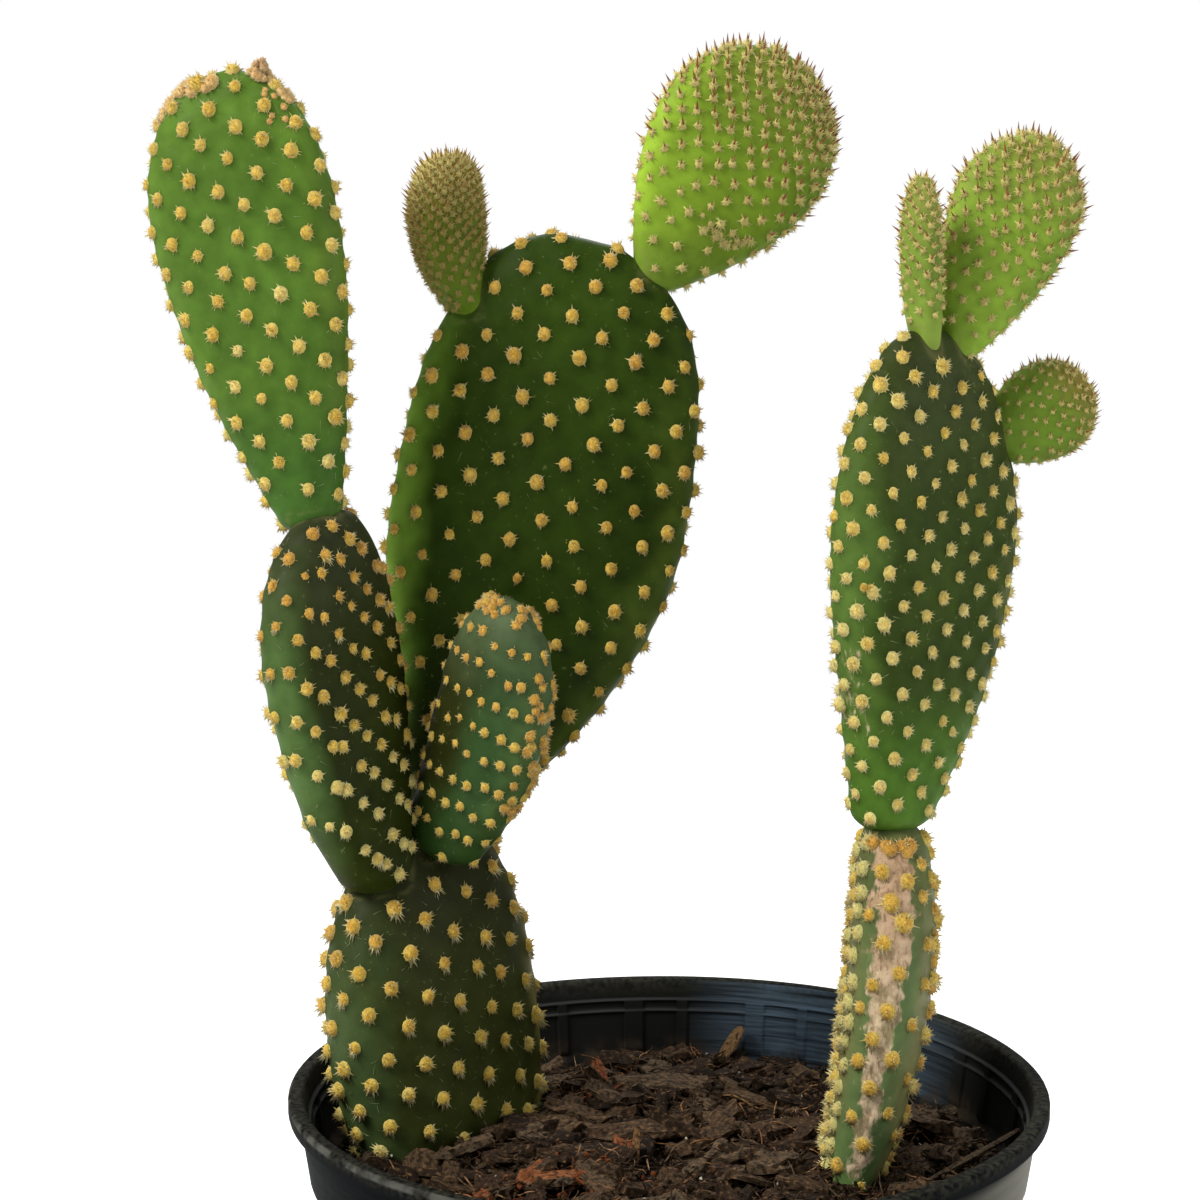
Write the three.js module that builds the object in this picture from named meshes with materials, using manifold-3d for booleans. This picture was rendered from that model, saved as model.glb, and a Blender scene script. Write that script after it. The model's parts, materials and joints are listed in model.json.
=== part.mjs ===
// A potted paddle cactus: two stems of flat pads, dotted all over with bristle tufts,
// growing from coarse bark mix in a round plastic nursery pot.
// Millimetres, +Z up. The origin is the centre of the circle that the pot stands on, and -Y is the front.
import * as THREE from 'three';
import { mergeVertices } from 'three/addons/utils/BufferGeometryUtils.js';
import Module from 'manifold-3d';

const wasm = await Module();
wasm.setup();

const clearance = 0.35; // gap between pieces that touch
const goldenTurn = (Math.sqrt(5) - 1) / 2; // share of a turn between one tuft and the next
const degrees = Math.PI / 180;

// The pot is a thin tapered wall with a rolled rim and a stacking ledge. It stands on a foot ring and a
// middle disc, and its drain holes go through the raised floor between them.
const pot = {
  height: 120,
  sides: 32,
  footRadius: 54,
  neckRadius: 71.6, // outside of the wall where it meets the rim
  wall: 1.6,
  rimRadius: 75,
  rimHeight: 3.4,
  rimWidth: 3.4,
  rimEdge: 0.9, // rounding of the rolled rim
  ledgeDrop: 16.5, // stacking ledge below the top of the rim
  ledgeStep: 1.3,
  footRingWidth: 5,
  middleDisc: 16, // radius of the flat disc under the middle
  footRingRise: 3, // the floor is this far off the ground
  floorThickness: 2,
  drainHoles: 8,
  drainRadius: 4.5,
  drainCircle: 34,
};

// The bark mix fills the pot to just under the ledge and mounds up a little towards the middle.
const bark = {
  edgeDrop: 17.6, // its edge below the top of the rim
  middleRise: 3,
  lumpHeight: 0.9,
  rings: 5,
  chips: 38, // before those that would touch a stem are left out
  chipLength: [7, 17],
  chipWidth: [3.5, 7.5],
  chipThickness: [1.8, 3.4],
  chipMargin: 4.5, // bare ground kept round each stem
  seed: 11,
};

// Each pad is an obovate body on a curved axis. foot is the middle of its lower end, lean is its tilt to
// the right, tip its tilt to the back, and turn the swing of its right edge to the back.
// bow and curl are the sagitta of its axis across and through its face. widest is the height of the
// broadest place as a share of the length, neck the width of the foot as a share of the width, and
// blunt and thinning how square the round end is from the front and from the side. footThick is the
// foot's thickness as a share of the pad's, and thickest where its full thickness starts, if that isn't
// low down. around and along count the faces of its skin, and tuftArea is the skin that each tuft has to
// itself where they aren't crowded.
const pads = {
  left_trunk_pad: {
    foot: [-39.3, 16, 80.1], length: 89, width: 49.5, thick: 25, lean: -7, tip: 0, turn: 45,
    bow: -2.9, curl: 0, widest: 0.52, neck: 0.52, blunt: 2.4, thinning: 2.6, footThick: 0.72,
    around: 20, along: 12, tuft: 'bristle', tuftArea: 180, parent: null,
  },
  left_lower_pad: {
    foot: [-56.8, 3.3, 157.5], length: 76.6, width: 32, thick: 14.5, lean: -7.8, tip: 1, turn: 48,
    bow: -3.4, curl: 0, widest: 0.6, neck: 0.42, blunt: 2.2, thinning: 3.2, footThick: 0.72,
    around: 16, along: 10, tuft: 'bristle', tuftArea: 140, parent: 'left_trunk_pad',
  },
  left_upper_pad: {
    foot: [-69, 5, 228.9], length: 90, width: 36.7, thick: 13, lean: -11.1, tip: 0, turn: -10,
    bow: -1.1, curl: 0, widest: 0.7, neck: 0.26, blunt: 2.09, thinning: 2.6, footThick: 0.72,
    around: 16, along: 11, tuft: 'bristle', tuftArea: 150, parent: 'left_lower_pad',
  },
  broad_pad: {
    foot: [-44.1, 22, 164.4], length: 125.3, width: 60.4, thick: 16, lean: 13, tip: 4, turn: -4,
    bow: 2.8, curl: 0, widest: 0.56, neck: 0.12, blunt: 2.49, thinning: 2.6, footThick: 0.72,
    around: 18, along: 12, tuft: 'bristle', tuftArea: 205, parent: 'left_trunk_pad',
  },
  small_front_pad: {
    foot: [-46, 10.6, 163.2], length: 56.4, width: 25, thick: 13, lean: 16, tip: -11, turn: -34,
    bow: 3.4, curl: 0, widest: 0.58, neck: 0.6, blunt: 2.15, thinning: 2.6, footThick: 0.72,
    around: 14, along: 9, tuft: 'bristle', tuftArea: 100, parent: 'left_trunk_pad',
  },
  right_trunk_pad: {
    foot: [29.9, -4, 84], length: 91, width: 37, thick: 16.4, lean: 8.8, tip: 0, turn: 80,
    bow: 0, curl: -5, widest: 0.5, neck: 0.74, blunt: 2.4, thinning: 3.8, footThick: 0.4, thickest: 0.7,
    around: 16, along: 10, tuft: 'bristle', tuftArea: 145, parent: null,
  },
  right_tall_pad: {
    foot: [42.9, -5.5, 171.7], length: 97.2, width: 46.2, thick: 15, lean: 3.4, tip: 1.2, turn: 38,
    bow: 4.3, curl: 0, widest: 0.61, neck: 0.31, blunt: 1.85, thinning: 2.6, footThick: 0.72,
    around: 18, along: 12, tuft: 'bristle', tuftArea: 160, parent: 'right_trunk_pad',
  },
  young_left_bud: {
    foot: [-40.1, 29.2, 270.2], length: 32.9, width: 15, thick: 11, lean: -7, tip: 0, turn: 32,
    bow: -2.2, curl: 0, widest: 0.63, neck: 0.26, blunt: 2.48, thinning: 2.6, footThick: 0.72,
    around: 12, along: 8, tuft: 'needle', tuftArea: 42, parent: 'broad_pad',
  },
  young_bright_pad: {
    foot: [-4.6, 30.6, 275.7], length: 55.9, width: 37.5, thick: 10, lean: 33.4, tip: 3.4, turn: 8,
    bow: 0.4, curl: -1.2, widest: 0.65, neck: 0.12, blunt: 1.95, thinning: 2.6, footThick: 0.72,
    around: 14, along: 9, tuft: 'needle', tuftArea: 85, parent: 'broad_pad',
  },
  young_finger_bud: {
    foot: [48.7, -5.2, 263], length: 34, width: 9.4, thick: 5.4, lean: -3.2, tip: -4, turn: -60,
    bow: -0.8, curl: 0, widest: 0.56, neck: 0.6, blunt: 2.3, thinning: 2.6, footThick: 0.72,
    around: 10, along: 7, tuft: 'needle', tuftArea: 50, parent: 'right_tall_pad',
  },
  young_oval_pad: {
    foot: [54.5, 0.2, 262.6], length: 45.6, width: 24.1, thick: 9, lean: 22.1, tip: 2.7, turn: -6,
    bow: 0, curl: 0.8, widest: 0.7, neck: 0.17, blunt: 1.78, thinning: 2.6, footThick: 0.72,
    around: 12, along: 8, tuft: 'needle', tuftArea: 65, parent: 'right_tall_pad',
  },
  young_round_bud: {
    foot: [62.7, 8, 245.7], length: 23, width: 18.6, thick: 8, lean: 57, tip: 2.8, turn: -8,
    bow: 0.4, curl: 0, widest: 0.6, neck: 0.42, blunt: 2, thinning: 2.6, footThick: 0.72,
    around: 12, along: 7, tuft: 'needle', tuftArea: 38, parent: 'right_tall_pad',
  },
};

const padSquareness = 2.4; // exponent of a pad's cross-section, 2 being an ellipse
const footRounding = 4; // height of the rounded lower end
const rimCrowding = 0.5; // extra tufts along a pad's narrow edge
const youngCrowding = 1.6; // extra tufts towards a young pad's growing end
const tufts = {
  bristle: { radius: 1.8, height: 2.7, sink: 0.25 },
  needle: { radius: 0.85, height: 4.2, sink: 0.7, rise: 0.5 },
};

// Colours as sRGB, with how shiny each surface is.
const finishes = {
  pot: { color: 0x23262b, roughness: 0.42, metalness: 0 },
  bark: { color: 0x4a3426, roughness: 0.95, metalness: 0 },
  trunk: { color: 0x33472a, roughness: 0.6, metalness: 0 },
  mature: { color: 0x3c6429, roughness: 0.5, metalness: 0 },
  young: { color: 0x76a335, roughness: 0.5, metalness: 0 },
};

function finish(name) {
  return new THREE.MeshStandardMaterial({ name, ...finishes[name] });
}

// A repeatable draw from 0 to 1.
function seededDraw(seed) {
  let state = seed;
  return () => {
    state = (state * 1664525 + 1013904223) % 4294967296;
    return state / 4294967296;
  };
}

// A closed three.js geometry as a solid that can be joined and cut.
function solidOf(geometry, matrix = new THREE.Matrix4()) {
  const bare = new THREE.BufferGeometry();
  const source = geometry.index ? geometry.toNonIndexed() : geometry;
  bare.setAttribute('position', source.getAttribute('position').clone());
  bare.applyMatrix4(matrix);
  const merged = mergeVertices(bare, 1e-4);
  return new wasm.Manifold(new wasm.Mesh({
    numProp: 3,
    vertProperties: merged.getAttribute('position').array,
    triVerts: new Uint32Array(merged.index.array),
  }));
}

function geometryOf(solid) {
  const { vertProperties, triVerts } = solid.getMesh();
  return new THREE.BufferGeometry()
    .setAttribute('position', new THREE.BufferAttribute(vertProperties, 3))
    .setIndex(new THREE.BufferAttribute(triVerts, 1));
}

function meshOf(solid, name, finishName) {
  const geometry = geometryOf(solid);
  geometry.computeVertexNormals();
  const mesh = new THREE.Mesh(geometry, finish(finishName));
  mesh.name = name;
  return mesh;
}

// Turns a profile of [radius, height] points, bottom first on the outside, round the Z axis.
function turned(profile) {
  const points = profile.map(([radius, height]) => new THREE.Vector2(radius, height));
  return new THREE.LatheGeometry(points, pot.sides).rotateX(Math.PI / 2);
}

// The pot

const ledgeHeight = pot.height - pot.ledgeDrop;
const floorTop = pot.footRingRise + pot.floorThickness;

function wallOutside(height) {
  const taper = (pot.neckRadius - pot.footRadius) / (pot.height - pot.rimHeight);
  const step = height > ledgeHeight ? 0 : pot.ledgeStep;
  return pot.footRadius + pot.ledgeStep + taper * height - step;
}

function wallInside(height) {
  return wallOutside(height) - pot.wall;
}

function makePot() {
  const { height, footRadius, footRingWidth, footRingRise, rimRadius, rimHeight, rimWidth, rimEdge } = pot;
  const rimBottom = height - rimHeight;
  const rimInside = rimRadius - rimWidth;
  const body = solidOf(turned([
    [0, 0],
    [pot.middleDisc, 0],
    [pot.middleDisc + 1, footRingRise],
    [footRadius - footRingWidth - 1, footRingRise],
    [footRadius - footRingWidth, 0],
    [footRadius - 0.8, 0],
    [wallOutside(1.2), 1.2],
    [wallOutside(ledgeHeight - 1), ledgeHeight - 1],
    [wallOutside(ledgeHeight + 0.4), ledgeHeight + 0.4],
    [pot.neckRadius, rimBottom],
    [rimRadius, rimBottom],
    [rimRadius, height - rimEdge],
    [rimRadius - rimEdge, height],
    [rimInside + rimEdge, height],
    [rimInside, height - rimEdge],
    [wallInside(rimBottom - 1), rimBottom - 1],
    [wallInside(ledgeHeight + 0.4), ledgeHeight + 0.4],
    [wallInside(ledgeHeight - 1), ledgeHeight - 1],
    [wallInside(floorTop + 1), floorTop + 1],
    [wallInside(floorTop) - 1, floorTop],
    [0, floorTop],
  ]));
  const holes = [];
  for (let i = 0; i < pot.drainHoles; i += 1) {
    const angle = (i + 0.5) * 2 * Math.PI / pot.drainHoles;
    const hole = new THREE.CylinderGeometry(pot.drainRadius, pot.drainRadius, 3 * floorTop, 8);
    hole.rotateX(Math.PI / 2);
    hole.translate(pot.drainCircle * Math.cos(angle), pot.drainCircle * Math.sin(angle), floorTop / 2);
    holes.push(solidOf(hole));
  }
  return meshOf(body.subtract(wasm.Manifold.union(holes)), 'pot', 'pot');
}

// The pads

// A pad's turned place in the plant.
function padPlace(pad) {
  const turn = new THREE.Euler(-pad.tip * degrees, pad.lean * degrees, pad.turn * degrees, 'YXZ');
  return new THREE.Matrix4().makeRotationFromEuler(turn).setPosition(...pad.foot);
}

function roundEnd(share, exponent) {
  return Math.max(0, 1 - share ** exponent) ** (1 / exponent);
}

function footShare(pad, t) {
  return roundEnd(Math.max(0, 1 - t * pad.length / footRounding), 2.2);
}

// Half the pad's width at a share t of its length.
function halfWidth(pad, t) {
  const wide = pad.width / 2 * footShare(pad, t);
  if (t >= pad.widest) return wide * roundEnd((t - pad.widest) / (1 - pad.widest), pad.blunt);
  return wide * (pad.neck + (1 - pad.neck) * Math.sin(Math.PI / 2 * t / pad.widest));
}

// Half the pad's thickness there: it swells quickly above the foot and thins towards the tip.
function halfThickness(pad, t) {
  const fullFrom = pad.thickest ?? 0.42;
  const thinFrom = 0.5;
  const low = pad.footThick;
  const rise = low + (1 - low) * Math.sin(Math.PI / 2 * Math.min(1, t / fullFrom));
  const thick = pad.thick / 2 * footShare(pad, t) * rise;
  return thick * roundEnd(Math.max(0, (t - thinFrom) / (1 - thinFrom)), pad.thinning);
}

// The pad's axis at t, in the pad's own frame.
function axisPoint(pad, t) {
  const sag = 4 * t * (1 - t);
  return new THREE.Vector3(pad.bow * sag, pad.curl * sag, pad.length * t);
}

// A point on the pad's skin. Around 0 is the right edge, and the skin can be grown outwards.
function skinPoint(pad, t, around, grown = 0) {
  const power = 2 / padSquareness;
  const c = Math.cos(around);
  const s = Math.sin(around);
  const point = axisPoint(pad, t);
  point.x += (halfWidth(pad, t) + grown) * Math.sign(c) * Math.abs(c) ** power;
  point.y += (halfThickness(pad, t) + grown) * Math.sign(s) * Math.abs(s) ** power;
  point.z += grown * (2 * t - 1);
  return point;
}

// The pad's smooth body: a sphere's grid laid over the skin.
function padBody(pad, grown = 0) {
  const geometry = new THREE.SphereGeometry(1, pad.around, pad.along).rotateX(Math.PI / 2);
  const position = geometry.getAttribute('position');
  for (let i = 0; i < position.count; i += 1) {
    const [x, y, z] = [position.getX(i), position.getY(i), position.getZ(i)];
    const t = (1 + z) / 2;
    const atPole = Math.hypot(x, y) < 1e-6;
    const point = atPole ? axisPoint(pad, Math.round(t)) : skinPoint(pad, t, Math.atan2(y, x), grown);
    if (atPole) point.z += grown * (2 * Math.round(t) - 1);
    position.setXYZ(i, point.x, point.y, point.z);
  }
  return solidOf(geometry);
}

// Whether a point of the plant lies in a pad or within a margin of it.
function nearPad(pad, point, margin) {
  const local = point.clone().applyMatrix4(padPlace(pad).invert());
  const t = local.z / pad.length;
  if (t < -margin / pad.length || t > 1 + margin / pad.length) return false;
  const held = Math.min(0.95, Math.max(footRounding / pad.length, t));
  const middle = axisPoint(pad, held);
  const across = Math.abs(local.x - middle.x) / (halfWidth(pad, held) + margin);
  const through = Math.abs(local.y - middle.y) / (halfThickness(pad, held) + margin);
  return across ** padSquareness + through ** padSquareness < 1;
}

// Running skin area of a band of the pad, with the share of it that each direction round the band has.
function skinBand(pad, t, step) {
  const slices = 72;
  const sums = [0];
  for (let j = 0; j < slices; j += 1) {
    const a0 = j * 2 * Math.PI / slices;
    const a1 = (j + 1) * 2 * Math.PI / slices;
    const width = skinPoint(pad, t, a0).distanceTo(skinPoint(pad, t, a1));
    const height = skinPoint(pad, t - step / 2, a0).distanceTo(skinPoint(pad, t + step / 2, a0));
    const edge = 1 + rimCrowding * Math.abs(Math.cos((a0 + a1) / 2)) ** 8;
    sums.push(sums[j] + width * height * edge);
  }
  return sums;
}

// Tuft places on a pad's skin: a golden-angle spiral with an equal share of skin for each.
function tuftPlaces(pad) {
  const bands = 120;
  const step = 1 / bands;
  const crowding = pad.tuft === 'needle' ? youngCrowding : 0;
  const bandSums = [];
  const running = [0];
  for (let i = 0; i < bands; i += 1) {
    const t = (i + 0.5) * step;
    const sums = skinBand(pad, t, step * 0.98);
    bandSums.push(sums);
    running.push(running[i] + sums.at(-1) * (1 + crowding * t * t));
  }
  const count = Math.round(running.at(-1) / pad.tuftArea);
  const places = [];
  for (let i = 0; i < count; i += 1) {
    const area = (i + 0.5) / count * running.at(-1);
    const band = running.findIndex((sum) => sum > area) - 1;
    const within = (area - running[band]) / (running[band + 1] - running[band]);
    const sums = bandSums[band];
    const along = (i * goldenTurn % 1) * sums.at(-1);
    const slice = sums.findIndex((sum) => sum > along) - 1;
    const turnShare = (slice + (along - sums[slice]) / (sums[slice + 1] - sums[slice])) / (sums.length - 1);
    places.push([(band + within) * step, turnShare * 2 * Math.PI]);
  }
  return places;
}

// The skin's outward direction at a place.
function skinNormal(pad, t, around) {
  const small = 1e-3;
  const alongPad = skinPoint(pad, Math.min(1, t + small), around).sub(skinPoint(pad, t - small, around));
  const aroundPad = skinPoint(pad, t, around + small).sub(skinPoint(pad, t, around - small));
  return aroundPad.cross(alongPad).normalize();
}

// A plump cushion of bristles, or a young pad's pointed leaf with its bristles.
function tuftSolid(pad, t, around) {
  const size = tufts[pad.tuft];
  const normal = skinNormal(pad, t, around);
  const up = new THREE.Vector3(0, 0, 1);
  const root = skinPoint(pad, t, around);
  if (pad.tuft === 'bristle') {
    const cushion = new THREE.OctahedronGeometry(1).scale(size.radius, size.radius, size.height);
    const turn = new THREE.Quaternion().setFromUnitVectors(up, normal);
    root.addScaledVector(normal, -size.sink);
    return solidOf(cushion, new THREE.Matrix4().compose(root, turn, new THREE.Vector3(1, 1, 1)));
  }
  const needle = new THREE.ConeGeometry(size.radius, size.height, 3).rotateX(Math.PI / 2);
  const direction = normal.clone().addScaledVector(up, size.rise).normalize();
  const turn = new THREE.Quaternion().setFromUnitVectors(up, direction);
  root.addScaledVector(direction, size.height / 2 - size.sink);
  return solidOf(needle, new THREE.Matrix4().compose(root, turn, new THREE.Vector3(1, 1, 1)));
}

const tuftMargin = 5; // a tuft keeps this far from any other pad
const footMargin = 3; // and from its own pad's foot
const groundMargin = 5; // and from the bark

function tuftIsClear(name, pad, t, around) {
  if (pad.parent && t * pad.length < footMargin) return false;
  const point = skinPoint(pad, t, around).applyMatrix4(padPlace(pad));
  const ground = barkHeight(point.x, point.y) + groundMargin;
  if (!pad.parent && point.z < ground) return false;
  return Object.entries(pads).every(([other, its]) => other === name || !nearPad(its, point, tuftMargin));
}

function makePad(name) {
  const pad = pads[name];
  const place = padPlace(pad);
  let body = padBody(pad);
  if (pad.parent) {
    const intoPad = place.clone().invert().multiply(padPlace(pads[pad.parent]));
    const seat = padBody(pads[pad.parent], clearance).transform(intoPad.elements);
    body = body.subtract(seat);
  }
  const clear = tuftPlaces(pad).filter(([t, around]) => tuftIsClear(name, pad, t, around));
  const solid = wasm.Manifold.union([body, ...clear.map(([t, around]) => tuftSolid(pad, t, around))]);
  const finishName = pad.tuft === 'needle' ? 'young' : pad.parent ? 'mature' : 'trunk';
  const mesh = meshOf(solid, name, finishName);
  mesh.applyMatrix4(place);
  return mesh;
}

// The bark mix

const barkEdge = pot.height - bark.edgeDrop;
const barkRadius = wallInside(barkEdge) - clearance;

// The ground's height, without its chips.
function barkHeight(x, y) {
  const out = Math.min(1, Math.hypot(x, y) / barkRadius);
  const lumps = Math.sin(x / 5.1 + 1.3) * Math.cos(y / 4.3) + Math.sin((x + y) / 7.7) * 0.8;
  const inside = 1 - out ** 6;
  return barkEdge + inside * (bark.middleRise * (1 - out * out) + bark.lumpHeight * (1.6 + lumps));
}

function groundSolid() {
  const bottom = floorTop + clearance;
  const profile = [[0, bottom], [wallInside(bottom + 1) - 1 - clearance, bottom], [barkRadius, barkEdge]];
  for (let i = bark.rings - 1; i > 0; i -= 1) profile.push([barkRadius * i / bark.rings, barkEdge + 1]);
  profile.push([0, barkEdge + 1]);
  const geometry = turned(profile);
  const position = geometry.getAttribute('position');
  for (let i = 0; i < position.count; i += 1) {
    if (position.getZ(i) < barkEdge + 0.5) continue;
    position.setZ(i, barkHeight(position.getX(i), position.getY(i)));
  }
  return solidOf(geometry);
}

// The solid's one large skin, without the closed pockets that crossing chips leave under them.
function filled(solid) {
  return solid.decompose().reduce((largest, shell) => (shell.volume() > largest.volume() ? shell : largest));
}

function between(draw, [low, high]) {
  return low + (high - low) * draw();
}

// Slabs of bark that lie about on the ground, half sunk in it.
function barkChips() {
  const draw = seededDraw(bark.seed);
  const stems = Object.values(pads).filter((pad) => !pad.parent);
  const chips = [];
  for (let i = 0; i < bark.chips; i += 1) {
    const length = between(draw, bark.chipLength);
    const slab = new THREE.BoxGeometry(length, between(draw, bark.chipWidth), between(draw, bark.chipThickness));
    const out = (barkRadius - length / 2 - 2) * Math.sqrt((i + 0.5) / bark.chips);
    const angle = i * goldenTurn * 2 * Math.PI;
    const [x, y] = [out * Math.cos(angle), out * Math.sin(angle)];
    const turn = new THREE.Euler(between(draw, [-0.25, 0.25]), between(draw, [-0.3, 0.3]), draw() * Math.PI);
    const centre = new THREE.Vector3(x, y, barkHeight(x, y) + between(draw, [0.2, 1.1]));
    if (stems.some((pad) => nearPad(pad, centre, bark.chipMargin + length / 2))) continue;
    slab.applyMatrix4(new THREE.Matrix4().makeRotationFromEuler(turn).setPosition(centre));
    chips.push(solidOf(slab));
  }
  return chips;
}

function makeBark() {
  const holes = Object.values(pads).filter((pad) => !pad.parent)
    .map((pad) => padBody(pad, clearance).transform(padPlace(pad).elements));
  const mix = wasm.Manifold.union([groundSolid(), ...barkChips()]);
  return meshOf(filled(mix.subtract(wasm.Manifold.union(holes))), 'bark_mix', 'bark');
}

const plant = new THREE.Group();
plant.name = 'potted_paddle_cactus';
plant.add(makePot(), makeBark());
for (const name of Object.keys(pads)) plant.add(makePad(name));

export default plant;
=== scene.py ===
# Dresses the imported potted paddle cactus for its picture: waxy green pads with fuzzy golden tufts,
# loose bark mix, and a scuffed black nursery pot. Metres, +Z up, and -Y is the front.
import json
import math
from functools import reduce

import bpy
import numpy as np
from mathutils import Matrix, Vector
from mathutils.kdtree import KDTree

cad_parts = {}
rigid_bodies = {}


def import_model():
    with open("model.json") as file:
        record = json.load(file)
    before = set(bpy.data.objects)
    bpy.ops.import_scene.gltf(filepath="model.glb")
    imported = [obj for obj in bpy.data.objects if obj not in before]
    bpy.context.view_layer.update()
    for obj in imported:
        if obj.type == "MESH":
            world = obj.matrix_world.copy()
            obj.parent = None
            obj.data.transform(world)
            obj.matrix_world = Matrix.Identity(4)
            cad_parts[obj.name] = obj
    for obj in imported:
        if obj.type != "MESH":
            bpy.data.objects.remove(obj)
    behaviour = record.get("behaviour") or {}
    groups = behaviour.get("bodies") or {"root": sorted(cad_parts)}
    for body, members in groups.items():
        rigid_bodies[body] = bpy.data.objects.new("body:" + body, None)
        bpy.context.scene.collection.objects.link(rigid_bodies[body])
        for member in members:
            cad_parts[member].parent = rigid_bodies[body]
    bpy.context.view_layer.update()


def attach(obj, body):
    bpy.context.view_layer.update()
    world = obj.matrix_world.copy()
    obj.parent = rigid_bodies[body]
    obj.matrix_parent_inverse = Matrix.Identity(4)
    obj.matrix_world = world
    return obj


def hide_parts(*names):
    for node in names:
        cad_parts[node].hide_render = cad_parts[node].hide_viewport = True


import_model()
scene = bpy.context.scene
mm = 0.001
turnOnce = 2 * math.pi
skyward = np.array([0.0, 0.0, 1.0])


# An everyday 0 to 255 colour as the linear one that Blender works in. A node's output stays as it is.
def paint(colour):
    if isinstance(colour, bpy.types.NodeSocket):
        return colour
    shares = [c / 255 for c in colour]
    return tuple(c / 12.92 if c < 0.04045 else ((c + 0.055) / 1.055) ** 2.4 for c in shares) + (1.0,)


def setInput(tree, socket, value):
    if isinstance(value, bpy.types.NodeSocket):
        tree.links.new(value, socket)
    else:
        socket.default_value = value


# One node with its settings. An input takes a number, a colour or another node's output.
def addNode(tree, kind, inputs=None, **settings):
    made = tree.nodes.new(kind)
    for name, value in settings.items():
        setattr(made, name, value)
    for key, value in (inputs or {}).items():
        setInput(tree, made.inputs[key], value)
    return made


def mathOf(tree, operation, *values):
    inputs = dict(enumerate(values))
    return addNode(tree, "ShaderNodeMath", inputs, operation=operation).outputs[0]


def times(tree, *values):
    return reduce(lambda product, value: mathOf(tree, "MULTIPLY", product, value), values)


def plus(tree, *values):
    return reduce(lambda total, value: mathOf(tree, "ADD", total, value), values)


# What a share leaves of the whole.
def restOf(tree, share):
    return mathOf(tree, "SUBTRACT", 1.0, share)


def vectorOf(tree, operation, *values):
    node = addNode(tree, "ShaderNodeVectorMath", dict(enumerate(values)), operation=operation)
    return node.outputs["Value" if operation in ("DOT_PRODUCT", "LENGTH") else "Vector"]


def scaled(tree, vector, factor):
    node = addNode(tree, "ShaderNodeVectorMath", {0: vector, "Scale": factor}, operation="SCALE")
    return node.outputs["Vector"]


def packVector(tree, x, y, z=0.0):
    return addNode(tree, "ShaderNodeCombineXYZ", {0: x, 1: y, 2: z}).outputs[0]


def partsOf(tree, vector):
    return addNode(tree, "ShaderNodeSeparateXYZ", {0: vector}).outputs


def blendColours(tree, share, first, second, how="MIX"):
    inputs = {0: share, 6: paint(first), 7: paint(second)}
    return addNode(tree, "ShaderNodeMix", inputs, data_type="RGBA", blend_type=how).outputs[2]


# Coats laid over a colour one after the other, each with its share and its own colour.
def layered(tree, colour, *coats):
    for share, over in coats:
        colour = blendColours(tree, share, colour, over)
    return colour


# 0 at low and 1 at high, eased at both ends. low may be the larger number.
def easedShare(tree, value, low, high, reach=1.0):
    inputs = {"Value": value, "From Min": low, "From Max": high, "To Max": reach}
    return addNode(tree, "ShaderNodeMapRange", inputs, interpolation_type="SMOOTHSTEP").outputs[0]


# Cloudy noise whose blotches are about size millimetres wide.
def blotches(tree, place, size, detail=3.0, rough=0.5):
    inputs = {"Vector": place, "Scale": 1000 / size, "Detail": detail, "Roughness": rough}
    return addNode(tree, "ShaderNodeTexNoise", inputs).outputs[0]


def attributeOf(tree, name, output="Fac"):
    return addNode(tree, "ShaderNodeAttribute", attribute_name=name).outputs[output]


def stretchedPlace(tree, place, x, y, z):
    return addNode(tree, "ShaderNodeMapping", {"Vector": place, "Scale": (x, y, z)}).outputs[0]


def freshMaterial(name):
    material = bpy.data.materials.new(name)
    material.use_nodes = True
    tree = material.node_tree
    place = addNode(tree, "ShaderNodeTexCoord").outputs["Object"]
    return material, tree, tree.nodes["Principled BSDF"], place


shaderWords = {
    "colour": "Base Color", "roughness": "Roughness", "normal": "Normal", "shine": "Specular IOR Level",
    "sheen": "Sheen Weight", "sheenRoughness": "Sheen Roughness",
}


def feed(tree, shader, **surface):
    for key, value in surface.items():
        setInput(tree, shader.inputs[shaderWords[key]], value)


# Light and dark grain on a surface, depth millimetres deep.
def grain(tree, height, depth, strength=1.0):
    inputs = {"Height": height, "Distance": depth * mm, "Strength": strength}
    return addNode(tree, "ShaderNodeBump", inputs).outputs[0]


def soften(mesh, angle=None):
    mesh.polygons.foreach_set("use_smooth", [True] * len(mesh.polygons))
    if angle is not None:
        mesh.set_sharp_from_angle(angle=math.radians(angle))
    mesh.update()


# Keeps one number, count or vector for each point of a mesh.
def keepFacts(mesh, facts):
    for fact, values in facts.items():
        values = np.asarray(values)
        kind, slot = "FLOAT", "value"
        if values.ndim == 2:
            kind, slot = "FLOAT_VECTOR", "vector"
        elif values.dtype.kind == "i":
            kind = "INT"
        mesh.attributes.new(fact, kind, "POINT").data.foreach_set(slot, values.ravel())


def dropFacts(mesh, spares):
    for spare in spares:
        if spare in mesh.attributes:
            mesh.attributes.remove(mesh.attributes[spare])


def objectOf(name, mesh):
    made = bpy.data.objects.new(name, mesh)
    scene.collection.objects.link(made)
    return made


# Points in millimetres and their faces as a mesh object, with what is known at each point.
def objectFrom(name, points, faces, facts=None, material=None, angle=None):
    mesh = bpy.data.meshes.new(name)
    mesh.from_pydata((np.asarray(points, float) * mm).tolist(), [], faces)
    soften(mesh, angle)
    keepFacts(mesh, facts or {})
    if material:
        mesh.materials.append(material)
    return objectOf(name, mesh)


# The last step of each piece: what it rides on, and the imported parts it stands for, which it hides.
def handOver(piece, nodes):
    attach(piece, "root")
    if nodes:
        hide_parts(*nodes)
    return piece


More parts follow.
